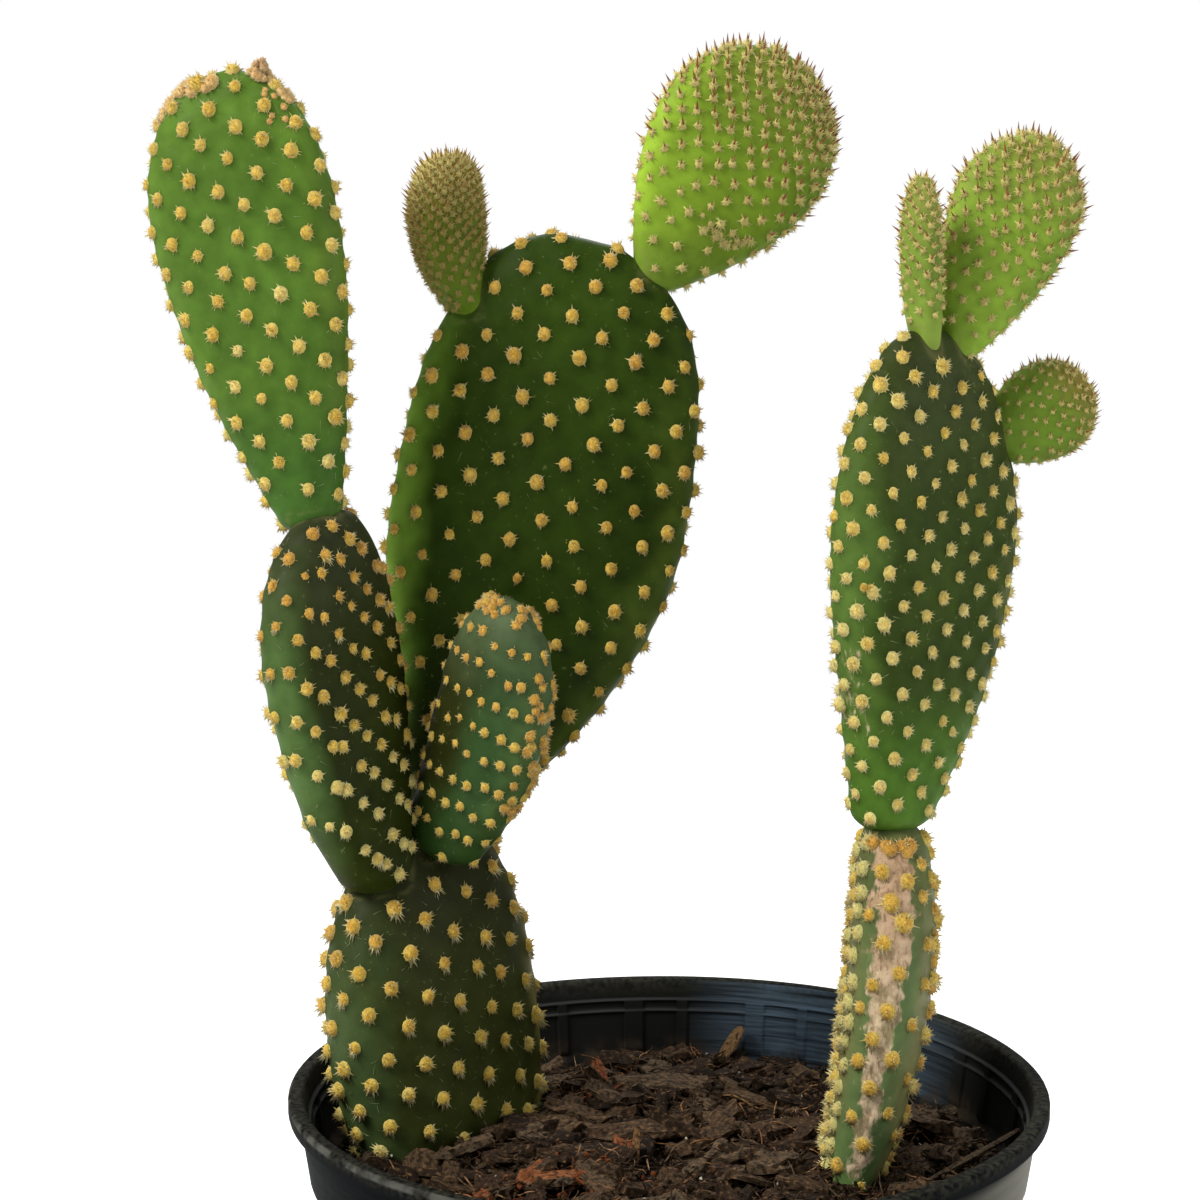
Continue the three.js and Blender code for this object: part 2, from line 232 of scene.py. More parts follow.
# Faces between rings of points, each ring a row. flipped faces look the other way.
def ringFaces(rows, columns, start=0, flipped=False):
    here, there = np.arange(columns), (np.arange(columns) + 1) % columns
    first = start + np.arange(rows - 1)[:, None] * columns
    quads = np.stack([first + here, first + there, first + columns + there, first + columns + here], -1)
    quads = quads.reshape(-1, 4)
    return (quads[:, [0, 3, 2, 1]] if flipped else quads).tolist()


# Closes a ring of points with a fan round a middle point.
def capFaces(middle, ring, columns, flipped=False):
    pairs = [(ring + k, ring + (k + 1) % columns) for k in range(columns)]
    return [[middle, b, a] if flipped else [middle, a, b] for a, b in pairs]


# Soft lumps from -1 to 1, about size millimetres apart.
def swell(points, size, seed, waves=10):
    draw = np.random.default_rng(seed)
    total = np.zeros(len(points))
    for _ in range(waves):
        way = draw.normal(size=3)
        way *= draw.uniform(0.7, 1.5) * turnOnce / size / np.linalg.norm(way)
        total += np.sin(points @ way + draw.uniform(0, turnOnce))
    return total / math.sqrt(waves)


def eased(value, low, high):
    share = np.clip((value - low) / (high - low), 0, 1)
    return share * share * (3 - 2 * share)


# A soft bump of height 1 at 0, reach wide.
def bell(value, reach):
    return np.exp(-((value / reach) ** 2))


# The pads, as the imported solids have them: millimetres and degrees. foot is the middle of the lower end,
# lean the tilt to the right, tip the tilt to the back, turn the swing of the right edge to the back, and
# bow and curl the axis's bend to local +x and +y. widest, neck and blunt shape the outline, and thinning,
# footThick and thickest the side view. fill is extra width low on the left, parent the pad that it grows
# from, and step the spacing of the skin's points.
# tuftArea is the skin round each tuft, tuftSize compares its tufts with the usual ones, and tail is how
# many of them let a pale brush of bristles hang. rows, where given, are the spacing of the rows, the
# spacing in a row, and how far a row climbs to the right. crowd is extra tufts along the narrow edge, bias
# extra ones on the face at local +y, and gather extra ones towards the growing end. gold is the tufts'
# warmth at the foot and the top, 0 being cream, dusk darkens young tufts, russet is how red young leaves
# are, and loose is the skin round each bristle that has come off.
# Colours are 0 to 255: centre is the pad's face, left and right its edges, top its growing end and low its
# foot. Most left colours are painted light, a lighter left edge as if lit from the left. leftReach is where
# the left edge's colour starts and is full.
usualPad = {
    "young": False, "slot": "mature_skin", "step": 1.0,
    "tip": 0, "bow": 0, "curl": 0, "thinning": 2.6, "footThick": 0.72, "thickest": 0.42, "fill": 0,
    "tuftSize": 1.0, "rows": None, "crowd": 0.5, "bias": 0, "gather": 0, "gold": (0.4, 0.4),
    "tail": 0.0, "loose": 90, "dusk": 0.0, "russet": 1.0, "leftReach": (0.62, 0.98),
}
pads = {
    "left_trunk_pad": {
        "foot": (-39.3, 16, 80.1), "length": 89, "width": 49.5, "thick": 25, "lean": -7, "turn": 45,
        "bow": -2.9, "widest": 0.52, "neck": 0.52, "blunt": 2.4,
        "parent": None, "slot": "trunk_skin",
        "tuftArea": 54, "tuftSize": 1.14, "gold": (0.22, 0.66), "tail": 0.75, "loose": 16,
        # top is painted shade: the trunk's top is darkened where it sits between the pads above
        "centre": (52, 57, 21), "left": (62, 78, 42), "right": (122, 112, 50), "top": (34, 36, 16),
        "low": (34, 36, 18),
    },
    "left_lower_pad": {
        "foot": (-56.8, 3.3, 157.5), "length": 76.6, "width": 32, "thick": 14.5, "lean": -7.8, "tip": 1,
        "turn": 48,
        "bow": -3.4, "widest": 0.6, "neck": 0.42, "blunt": 2.2, "thinning": 3.2,
        "parent": "left_trunk_pad", "step": 0.9,
        "tuftArea": 25, "tuftSize": 0.9, "rows": (8.4, 4.1, -1.0), "gold": (0.05, 0.85), "tail": 0.15,
        "loose": 40,
        "centre": (37, 44, 8), "left": (72, 96, 48), "right": (38, 44, 10), "top": (48, 52, 30),
    },
    "left_upper_pad": {
        "foot": (-69, 5, 228.9), "length": 90, "width": 36.7, "thick": 13, "lean": -11.1, "turn": -10,
        "bow": -1.1, "widest": 0.7, "neck": 0.26, "blunt": 2.09,
        "parent": "left_lower_pad",
        "tuftArea": 38, "gold": (0.25, 0.35), "loose": 60,
        "centre": (71, 100, 34), "left": (86, 114, 44), "right": (80, 104, 36), "top": (80, 110, 36),
        "low": (60, 92, 34),
    },
    "broad_pad": {
        "foot": (-44.1, 22, 164.4), "length": 125.3, "width": 60.4, "thick": 16, "lean": 13, "tip": 4,
        "turn": -4,
        "bow": 2.8, "widest": 0.56, "neck": 0.12, "blunt": 2.49, "fill": 0.6,
        "parent": "left_trunk_pad",
        "tuftArea": 51, "tuftSize": 1.02, "gold": (0.5, 0.6),
        "centre": (37, 53, 8), "left": (112, 148, 50), "right": (68, 84, 28), "top": (42, 60, 12),
        "low": (32, 44, 10), "leftReach": (0.62, 1.0),
    },
    "small_front_pad": {
        "foot": (-46, 10.6, 163.2), "length": 56.4, "width": 25, "thick": 13, "lean": 16, "tip": -11,
        "turn": -34,
        "bow": 3.4, "widest": 0.58, "neck": 0.6, "blunt": 2.15,
        "parent": "left_trunk_pad", "step": 0.85,
        "tuftArea": 19, "tuftSize": 0.73, "rows": (5.8, 3.4, 0.02), "gold": (0.4, 0.75), "loose": 60,
        # left is painted shade: this pad's left side is darkened as if in shadow, out to leftReach
        "centre": (46, 70, 34), "left": (38, 40, 10), "right": (66, 88, 46), "top": (70, 84, 54),
        "low": (38, 60, 22), "leftReach": (-0.3, 0.35),
    },
    "right_trunk_pad": {
        "foot": (29.9, -4, 84), "length": 91, "width": 37, "thick": 16.4, "lean": 8.8, "turn": 80,
        "curl": -5, "widest": 0.5, "neck": 0.74, "blunt": 2.4, "thinning": 3.8, "footThick": 0.4,
        "thickest": 0.7,
        "parent": None, "slot": "trunk_skin", "step": 0.85,
        "tuftArea": 24, "tuftSize": 1.12, "crowd": -0.6, "bias": 0.5, "gold": (0.2, 0.45), "tail": 0.1,
        "loose": 40,
        "centre": (108, 106, 66), "left": (92, 112, 66), "right": (78, 82, 40), "top": (82, 90, 50),
        "low": (62, 122, 36),
    },
    "right_tall_pad": {
        "foot": (42.9, -5.5, 171.7), "length": 97.2, "width": 46.2, "thick": 15, "lean": 3.4, "tip": 1.2,
        "turn": 38,
        "bow": 4.3, "widest": 0.61, "neck": 0.31, "blunt": 1.85,
        "parent": "right_trunk_pad",
        "tuftArea": 31, "tuftSize": 0.95, "gold": (0.05, 0.22), "loose": 50,
        "centre": (46, 60, 16), "left": (80, 106, 44), "right": (70, 76, 34), "top": (52, 60, 28),
        "low": (70, 102, 32),
    },
    "young_left_bud": {
        "foot": (-40.1, 29.2, 270.2), "length": 32.9, "width": 15, "thick": 11, "lean": -7, "turn": 32,
        "bow": -2.2, "widest": 0.63, "neck": 0.26, "blunt": 2.48,
        "parent": "broad_pad", "young": True, "slot": "young_skin", "step": 0.7,
        "tuftArea": 6.4, "tuftSize": 1.12, "gather": 2.6, "loose": 200, "dusk": 0.85, "russet": 0.2,
        "centre": (84, 98, 26), "left": (108, 122, 40), "right": (86, 94, 28), "top": (130, 108, 46),
        "low": (86, 112, 26),
    },
    "young_bright_pad": {
        "foot": (-4.6, 30.6, 275.7), "length": 55.9, "width": 37.5, "thick": 10, "lean": 33.4, "tip": 3.4,
        "turn": 8,
        "bow": 0.4, "curl": -1.2, "widest": 0.65, "neck": 0.12, "blunt": 1.95,
        "parent": "broad_pad", "young": True, "slot": "young_skin", "step": 0.9,
        "tuftArea": 27, "tuftSize": 1.4, "gather": 4.0, "loose": 70,
        "centre": (116, 144, 40), "left": (150, 184, 54), "right": (102, 126, 40), "top": (124, 136, 52),
        "low": (104, 130, 40),
    },
    "young_finger_bud": {
        "foot": (48.7, -5.2, 263), "length": 34, "width": 9.4, "thick": 5.4, "lean": -3.2, "tip": -4,
        "turn": -60,
        "bow": -0.8, "widest": 0.56, "neck": 0.6, "blunt": 2.3,
        "parent": "right_tall_pad", "young": True, "slot": "young_skin", "step": 0.6,
        "tuftArea": 8.2, "gather": 1.6, "loose": 200, "dusk": 0.05, "russet": 0.7,
        "centre": (120, 144, 56), "left": (138, 160, 64), "right": (110, 130, 50), "top": (132, 138, 62),
    },
    "young_oval_pad": {
        "foot": (54.5, 0.2, 262.6), "length": 45.6, "width": 24.1, "thick": 9, "lean": 22.1, "tip": 2.7,
        "turn": -6,
        "curl": 0.8, "widest": 0.7, "neck": 0.17, "blunt": 1.78,
        "parent": "right_tall_pad", "young": True, "slot": "young_skin", "step": 0.8,
        "tuftArea": 13, "tuftSize": 1.22, "gather": 1.6, "dusk": 0.1, "russet": 0.8,
        "centre": (122, 150, 50), "left": (144, 170, 62), "right": (108, 132, 46), "top": (136, 146, 62),
    },
    "young_round_bud": {
        "foot": (62.7, 8, 245.7), "length": 23, "width": 18.6, "thick": 8, "lean": 57, "tip": 2.8,
        "turn": -8,
        "bow": 0.4, "widest": 0.6, "neck": 0.42, "blunt": 2,
        "parent": "right_tall_pad", "young": True, "slot": "young_skin", "step": 0.7,
        "tuftArea": 8, "tuftSize": 0.88, "gather": 1.6, "loose": 120, "dusk": 0.2, "russet": 0.5,
        "centre": (106, 134, 44), "left": (126, 152, 54), "right": (100, 110, 40), "top": (134, 116, 54),
    },
}
for padName in pads:
    pads[padName] = {**usualPad, "low": pads[padName]["centre"], **pads[padName]}

skinWork = {
    "squareness": 2.4,  # exponent of a pad's cross-section, 2 being an ellipse
    "footRounding": 4,
    "mound": 0.4,  # rise of the skin under a tuft
    "moundReach": 2.3,
    "swell": 0.22,  # gentle unevenness of a grown pad
    "scabRelief": 0.45,
    "tuftMargin": 1.0, "tuftAboveMix": -0.6,  # how clear of the other pads and of the mix tufts stay
    "looseMargin": 0.5, "looseAboveMix": 1,
}
# Seeds of the random draws. Each pad adds its own number to the first four.
drawSeeds = {
    "places": 100, "loose": 300, "lie": 500, "sizes": 700, "wideDomes": 21, "smallDomes": 22, "rust": 9,
}
goldenTurn = (math.sqrt(5) - 1) / 2


def roundEnd(share, exponent):
    return np.maximum(0, 1 - np.clip(share, 0, 1) ** exponent) ** (1 / exponent)


def footShare(pad, t):
    return roundEnd(1 - t * pad["length"] / skinWork["footRounding"], 2.2)


def halfWidth(pad, t):
    upper = roundEnd((t - pad["widest"]) / (1 - pad["widest"]), pad["blunt"])
    lower = pad["neck"] + (1 - pad["neck"]) * np.sin(math.pi / 2 * np.minimum(t / pad["widest"], 1))
    return pad["width"] / 2 * footShare(pad, t) * np.where(t >= pad["widest"], upper, lower)


def halfThickness(pad, t):
    low = pad["footThick"]
    lower = low + (1 - low) * np.sin(math.pi / 2 * np.minimum(t / pad["thickest"], 1))
    return pad["thick"] / 2 * footShare(pad, t) * lower * roundEnd((t - 0.5) / 0.5, pad["thinning"])


def signedPower(value, power):
    return np.sign(value) * np.abs(value) ** power


# A point on a pad's skin in its own frame. Around 0 is its right edge.
def skinPoint(pad, t, around):
    power = 2 / skinWork["squareness"]
    c, s, sag = np.cos(around), np.sin(around), 4 * t * (1 - t)
    fuller = 1 + pad["fill"] * bell(t - 0.06, 0.1) * (c < 0)
    x = pad["bow"] * sag + halfWidth(pad, t) * fuller * signedPower(c, power)
    y = pad["curl"] * sag + halfThickness(pad, t) * signedPower(s, power)
    return np.stack([x, y, pad["length"] * t + 0 * x], -1)


def skinNormal(pad, t, around):
    small = 1e-3
    before, after = np.maximum(0, t - small), np.minimum(1, t + small)
    along = skinPoint(pad, after, around) - skinPoint(pad, before, around)
    across = skinPoint(pad, t, around + small) - skinPoint(pad, t, around - small)
    normal = np.cross(across, along)
    return normal / np.maximum(1e-9, np.linalg.norm(normal, axis=-1, keepdims=True))


def padTurn(pad):
    a, b, c = (math.radians(angle) for angle in (-pad["tip"], pad["lean"], pad["turn"]))
    tipped = np.array([[1, 0, 0], [0, math.cos(a), -math.sin(a)], [0, math.sin(a), math.cos(a)]])
    leant = np.array([[math.cos(b), 0, math.sin(b)], [0, 1, 0], [-math.sin(b), 0, math.cos(b)]])
    turned = np.array([[math.cos(c), -math.sin(c), 0], [math.sin(c), math.cos(c), 0], [0, 0, 1]])
    return leant @ tipped @ turned


def intoPlant(pad, local):
    return local @ padTurn(pad).T + np.array(pad["foot"])


# How far points of the plant are from a pad's skin, roughly, and below 0 inside it.
def padDistance(pad, points):
    local = (points - np.array(pad["foot"])) @ padTurn(pad)
    t = local[..., 2] / pad["length"]
    held = np.clip(t, skinWork["footRounding"] / pad["length"], 0.96)
    sag = 4 * held * (1 - held)
    x, y = local[..., 0] - pad["bow"] * sag, local[..., 1] - pad["curl"] * sag
    power = skinWork["squareness"]
    out = (np.abs(x / halfWidth(pad, held)) ** power + np.abs(y / halfThickness(pad, held)) ** power)
    out = np.maximum(out ** (1 / power), 1e-6)
    aside = np.hypot(x, y) * (1 - 1 / out)
    beyond = np.maximum(0, np.maximum(t - 1, -t)) * pad["length"]
    return np.where(beyond > 0, np.hypot(np.maximum(aside, 0), beyond), aside)


# How far along a line of points each of them lies.
def runAlong(line):
    return np.concatenate([[0], np.cumsum(np.linalg.norm(np.diff(line, axis=0), axis=1))])


# Places of a pad's tufts: a golden-angle spiral with an equal share of skin for each.
def tuftPlaces(pad, area, jitter, seed):
    bands, slices = 120, 72
    t = (np.arange(bands) + 0.5) / bands
    grid, around = np.meshgrid(t, np.arange(slices + 1) * turnOnce / slices, indexing="ij")
    points = skinPoint(pad, grid, around)
    across = np.linalg.norm(points[:, 1:] - points[:, :-1], axis=-1)
    half = 0.49 / bands
    along = np.linalg.norm(skinPoint(pad, grid + half, around) - skinPoint(pad, grid - half, around), axis=-1)
    middle = (around[:, 1:] + around[:, :-1]) / 2
    edge = (1 + pad["crowd"] * np.abs(np.cos(middle)) ** 8) * (1 + pad["bias"] * np.sin(middle))
    shares = across * along[:, :-1] * edge
    running = np.concatenate([[0], np.cumsum(shares.sum(1) * (1 + pad["gather"] * t * t))])
    count = max(1, round(running[-1] / area))
    draw = np.random.default_rng(seed)
    places = np.zeros((count, 2))
    for i in range(count):
        aim = (i + 0.5) / count * running[-1]
        band = min(bands - 1, int(np.searchsorted(running, aim, side="right")) - 1)
        within = (aim - running[band]) / (running[band + 1] - running[band])
        sums = np.concatenate([[0], np.cumsum(shares[band])])
        where = np.interp(i * goldenTurn % 1 * sums[-1], sums, np.arange(slices + 1)) / slices
        places[i] = (band + within) / bands, where * turnOnce
    stray = draw.normal(size=(count, 2)) * jitter * math.sqrt(area)
    girth = np.maximum(4, turnOnce * halfWidth(pad, places[:, 0]))
    places[:, 0] = np.clip(places[:, 0] + stray[:, 0] / pad["length"], 0.01, 0.995)
    places[:, 1] += stray[:, 1] / girth * turnOnce
    return places


# Places of a pad's tufts where they stand in slanting rows.
def rowPlaces(pad, jitter, seed):
    apart, along, climb = pad["rows"]
    draw = np.random.default_rng(seed)
    around = np.linspace(0, turnOnce, 721)
    places = []
    for row in range(-6, round(pad["length"] / apart) + 7):
        level = (row + 0.5) * apart / pad["length"]
        t = np.full(len(around), level)
        for _ in range(3):  # settles the slanting row on the skin
            aside = skinPoint(pad, np.clip(t, 0.01, 0.99), around)[:, 0]
            t = np.clip(level + climb * aside / pad["length"], -1, 2)
        run = runAlong(skinPoint(pad, np.clip(t, 0.01, 0.99), around))
        many = max(2, round(run[-1] / along))
        at = (np.arange(many) + 0.5 * (row % 2) + draw.normal(0, jitter, many)) % many * run[-1] / many
        high = np.interp(at, run, t) + draw.normal(0, jitter * apart / pad["length"], many)
        places += [(a, b) for a, b in zip(high, np.interp(at, run, around)) if 0.05 < a < 0.98]
    return np.array(places)


# Tufts stay off the other pads, their own pad's foot and the bark mix.
def clearPlaces(name, places, margin, groundMargin):
    pad = pads[name]
    points = intoPlant(pad, skinPoint(pad, places[:, 0], places[:, 1]))
    clear = points[:, 2] > barkHeight(points[:, 0], points[:, 1]) + groundMargin
    if pad["parent"]:
        clear &= places[:, 0] * pad["length"] > 2
    for other, its in pads.items():
        if other != name:
            clear &= padDistance(its, points) > margin
    return places[clear], points[clear]


# The pot and its bark mix, in millimetres.
potWork = {
    "height": 120, "footRadius": 54, "neckRadius": 71.6, "wall": 1.6,
    "rimRadius": 75, "rimHeight": 3.4, "rimWidth": 3.1, "rimRounding": 0.85,
    "ledgeDrop": 16.5, "ledgeStep": 1.3,
    "footRingWidth": 5, "middleDisc": 16, "footRingRise": 3, "floorThickness": 2,
    "drainHoles": 8, "drainRadius": 4.5, "drainCircle": 34, "drainSides": 28,
    "ridges": (115.4, 113.0), "ridgeRise": 0.6, "ridgeWidth": 0.4,  # thin lines round the inside
    "ribs": 16, "ribStart": 94.6, "ribRise": 0.65,
    "ribCircle": 71, "ribFlank": 0.28,  # radius that ribs are laid out on, and degrees across a rib's side
    "wideRib": 3.9, "narrowRib": 1.9, "narrowRibAfter": -9,
    "sides": 120, "outOfRound": 1.1,
}
barkWork = {
    "edgeDrop": 17.6, "middleRise": 3, "lumpHeight": 0.9,
    "clods": 0.9,  # rise of the finer unevenness
    "seed": 5,
}
gap = 0.35  # between pieces that touch
ledgeHeight = potWork["height"] - potWork["ledgeDrop"]
barkEdge = potWork["height"] - barkWork["edgeDrop"]
floorTop = potWork["footRingRise"] + potWork["floorThickness"]


def wallOutside(height):
    taper = (potWork["neckRadius"] - potWork["footRadius"]) / (potWork["height"] - potWork["rimHeight"])
    step = 0 if height > ledgeHeight else potWork["ledgeStep"]
    return potWork["footRadius"] + potWork["ledgeStep"] + taper * height - step


barkRadius = wallOutside(barkEdge) - potWork["wall"] - gap
hollows = [(-24, 62, 3.4, 13), (58, 12, -0.6, 12), (-6, 47, 1.2, 8), (37, -24, 1.8, 9)]  # x, y, depth, reach


def barkHeight(x, y):
    out = np.minimum(1, np.hypot(x, y) / barkRadius)
    dips = sum(deep * np.exp(-(((x - a) ** 2 + (y - b) ** 2) / reach ** 2)) for a, b, deep, reach in hollows)
    lumps = np.sin(x / 5.1 + 1.3) * np.cos(y / 4.3) + np.sin((x + y) / 7.7) * 0.8
    rise = barkWork["middleRise"] * (1 - out * out) + barkWork["lumpHeight"] * (1.6 + lumps)
    return barkEdge + (1 - out ** 6) * rise - dips


# Skin that has dried to cork, from 0 to 1: down the right trunk's front edge, and small patches elsewhere.
def corkShare(name, t, around, points):
    ragged = swell(points, 7, 31) * 0.5 + swell(points, 2.6, 32) * 0.5
    if name == "right_trunk_pad":
        aside = signedPower(np.sin(around), 0.83)
        reach = 0.26 + 0.26 * eased(t, 0.45, 0.95)
        strip = eased(reach - np.abs(aside + 0.1 * (1 - eased(t, 0.3, 0.6))) + ragged * 0.2, -0.24, 0.2)
        return strip * (np.cos(around) < 0) * eased(t + ragged * 0.05, 0.2, 0.36) * eased(0.99 - t, 0, 0.06)
    if name == "left_upper_pad":
        fromCorner = np.hypot((t - 0.86) * 2.6, np.cos(around) - 0.62) + ragged * 0.12
        return 0.18 * eased(-fromCorner, -0.42, -0.18)
    if name == "right_tall_pad":
        rim = eased(-np.cos(around) + ragged * 0.1, 0.88, 0.97)
        return 0.4 * rim * eased(-np.abs(t - 0.3) + ragged * 0.03, -0.12, -0.05)
    if name == "young_bright_pad":
        line = np.abs(np.cos(around) * 0.5 - 0.2 + (0.36 - t) * 0.9) + ragged * 0.03
        return 0.16 * eased(-line, -0.05, -0.01) * (np.sin(around) < 0)
    return np.zeros(len(t))


# How near each point is to the skin of a pad that this one joins, 1 being there.
def jointShare(name, points):
    share = np.zeros(len(points))
    for other, its in pads.items():
        if its["parent"] == name or pads[name]["parent"] == other:
            share = np.maximum(share, bell(padDistance(its, points), 0.6))
    return share


def nearestTuft(tufts, points):
    tree = KDTree(len(tufts))
    for i, tuft in enumerate(tufts):
        tree.insert(tuft, i)
    tree.balance()
    return np.array([tree.find(point)[2] for point in points])


# A pad's dense skin, with what its material needs to know at each point.
def buildSkin(name, tufts):
    pad = pads[name]
    fine = np.linspace(0, turnOnce, 2001)
    run = runAlong(skinPoint(pad, np.full(len(fine), 0.5), fine))
    step = pad["step"]
    columns, rows = round(run[-1] / step), round(pad["length"] * math.pi / 2 / step)
    angles = np.interp(np.arange(columns) * run[-1] / columns, run, fine)
    levels = (1 - np.cos(math.pi * np.arange(1, rows) / rows)) / 2
    t, around = (grid.ravel() for grid in np.meshgrid(levels, angles, indexing="ij"))
    t, around = np.concatenate([[0], t, [1]]), np.concatenate([[0], around, [0]])
    local, normals = skinPoint(pad, t, around), skinNormal(pad, t, around)
    normals[0], normals[-1] = -skyward, skyward
    points, normals = intoPlant(pad, local), normals @ padTurn(pad).T
    areole = bell(nearestTuft(tufts, points), skinWork["moundReach"])
    cork = corkShare(name, t, around, points)
    joint = jointShare(name, points)
    size = 0.5 if pad["young"] else 1.0
    rise = skinWork["mound"] * size * areole + skinWork["swell"] * size * swell(points, 26, 3)
    flaky = swell(points, 3.1, 41) * 0.6 + swell(points, 1.7, 42) * 0.4 - 0.3
    rise += cork * skinWork["scabRelief"] * flaky
    points = points + normals * rise[:, None]
    faces = ringFaces(rows - 1, columns, 1) + capFaces(0, 1, columns, True)
    faces += capFaces(len(points) - 1, 1 + (rows - 2) * columns, columns)
    across = signedPower(np.cos(around), 2 / skinWork["squareness"])
    facts = {"areole": areole, "cork": cork, "across": across, "along": t, "joint": joint}
    return objectFrom(name + "_skin", points, faces, facts, skinMaterial(name))


# Cork: pinkish tan with pale and brown fibres, browner towards the top.
def corkColour(tree, cloudy, fibres, along):
    corky = blendColours(tree, easedShare(tree, cloudy, 0.4, 0.64), (200, 176, 144), (140, 124, 92))
    return layered(
        tree, corky,
        (easedShare(tree, fibres, 0.5, 0.68, 0.7), (212, 190, 160)),
        (easedShare(tree, fibres, 0.46, 0.34, 0.7), (116, 88, 66)),
        (easedShare(tree, along, 0.62, 0.84, 0.55), (146, 110, 84)),
    )


# Waxy pad skin: its greens from edge to edge, with painted light on lighter left edges and painted shade on
# some darker sides and tops, cloudy mottling, cork where it has dried, painted shade round each tuft, and a
# pale line where two pads meet.
def skinMaterial(name):
    pad = pads[name]
    material, tree, shader, place = freshMaterial(f"waxy skin of the {name.replace('_', ' ')}")
    across, along, cork = (attributeOf(tree, fact) for fact in ("across", "along", "cork"))
    broad, cloudy = blotches(tree, place, 16, 2), blotches(tree, place, 3.5, 4)
    fine = blotches(tree, place, 0.9, 3)
    fibres = blotches(tree, stretchedPlace(tree, place, 1, 1, 0.3), 0.7, 4, 0.6)
    drift = times(tree, mathOf(tree, "SUBTRACT", broad, 0.5), 0.5)
    shifted, grown = plus(tree, across, drift), plus(tree, along, times(tree, drift, 0.5))
    start, full = pad["leftReach"]
    colour = layered(
        tree, pad["centre"],
        # painted light: most pads' left edges are lighter as if lit from the left; some sides and tops hold
        # painted shade
        (easedShare(tree, shifted, -start, -full), pad["left"]),
        (easedShare(tree, shifted, 0.6, 0.98), pad["right"]),
        (easedShare(tree, grown, 0.55, 1.0), pad["top"]),
        (easedShare(tree, grown, 0.34, 0.08), pad["low"]),
    )
    shade = plus(tree, times(tree, cloudy, 0.75), times(tree, broad, 0.75), 0.25)
    dappled = addNode(tree, "ShaderNodeCombineColor", {0: shade, 1: shade, 2: shade}).outputs[0]
    colour = blendColours(tree, 1.0, colour, dappled, "MULTIPLY")
    patchy = plus(tree, times(tree, cloudy, 0.9), times(tree, fibres, 1.1))
    worn = plus(tree, cork, mathOf(tree, "SUBTRACT", patchy, 1.0))
    worn = times(tree, easedShare(tree, worn, 0.3, 0.8), easedShare(tree, cork, 0.02, 0.25))
    meeting = times(tree, attributeOf(tree, "joint"), easedShare(tree, cloudy, 0.35, 0.6, 0.35))
    colour = layered(
        tree, colour,
        (easedShare(tree, fine, 0.66, 0.74, 0.35), (112, 122, 70)),  # pale specks
        # painted shade: the skin round each tuft is darkened
        (times(tree, attributeOf(tree, "areole"), 0.25), [int(c * 0.62) for c in pad["centre"]]),
        (meeting, (116, 112, 70)),
        (worn, corkColour(tree, cloudy, fibres, along)),
    )
    rough = plus(tree, times(tree, cloudy, 0.16), 0.4, times(tree, cork, 0.4))
    height = plus(tree, times(tree, cloudy, 0.5), times(tree, fine, 0.5))
    feed(tree, shader, colour=colour, roughness=rough, normal=grain(tree, height, 0.18, 0.35), shine=0.05)
    return material


# Tufts of barbed bristles. Sizes in millimetres; counts are for each tuft, and upright is how much taller
# than wide a tuft looks.
tuftWork = {
    "tuftWidth": 2.7, "tuftHeight": 1.36, "upright": 1.12,
    "hairs": 43, "hairLength": 1.55, "hairWidth": 0.55, "droop": 0.34,
    "brushBristles": 14, "brushLength": 2.4, "brushWidth": 0.55, "seed": 7,
}
youngWork = {
    "tuftWidth": 1.4, "tuftHeight": 0.65, "upright": 1.0, "hairs": 30, "hairLength": 0.92, "hairWidth": 0.28,
    "leafLength": 2.1, "leafWidth": 0.6, "leafRise": 0.7, "seed": 19,
}
plainSizes = ("droop", "leafRise", "upright", "bitSize")  # factors, not millimetres


# A size's name as a tree shows it: tuftWidth is Tuft Width.
def wordsOf(key):
    return "".join(" " + c if c.isupper() else c for c in key).title()


# A node tree with named inputs for its sizes, its counts, its shapes and its material.
def startTree(title, sizes):
    tree = bpy.data.node_groups.new(title, "GeometryNodeTree")
    tree.interface.new_socket("Geometry", in_out="INPUT", socket_type="NodeSocketGeometry")
    for key, value in sizes.items():
        counted = isinstance(value, int)
        kind = "NodeSocketInt" if counted else "NodeSocketFloat"
        socket = tree.interface.new_socket(wordsOf(key), in_out="INPUT", socket_type=kind)
        socket.default_value = value if counted or key in plainSizes else value * mm
    tree.interface.new_socket("Shapes", in_out="INPUT", socket_type="NodeSocketCollection")
    tree.interface.new_socket("Material", in_out="INPUT", socket_type="NodeSocketMaterial")
    tree.interface.new_socket("Geometry", in_out="OUTPUT", socket_type="NodeSocketGeometry")
    given = addNode(tree, "NodeGroupInput").outputs
    return tree, given, addNode(tree, "GeometryNodeMeshToPoints", {0: given["Geometry"]}).outputs[0]


def finishTree(tree, given, parts, smooth=True):
    joined = addNode(tree, "GeometryNodeJoinGeometry")
    for part in parts:
        tree.links.new(part, joined.inputs[0])
    whole = addNode(tree, "GeometryNodeRealizeInstances", {0: joined.outputs[0]}).outputs[0]
    if smooth:
        whole = addNode(tree, "GeometryNodeSetShadeSmooth", {0: whole}).outputs[0]
    whole = addNode(tree, "GeometryNodeSetMaterial", {0: whole, "Material": given["Material"]}).outputs[0]
    addNode(tree, "NodeGroupOutput", {0: whole})
    return tree


def factOf(tree, name, kind="FLOAT"):
    node = addNode(tree, "GeometryNodeInputNamedAttribute", {"Name": name}, data_type=kind)
    return next(out for out in node.outputs if out.enabled)


def wayOf(tree, name):
    return factOf(tree, name, "FLOAT_VECTOR")


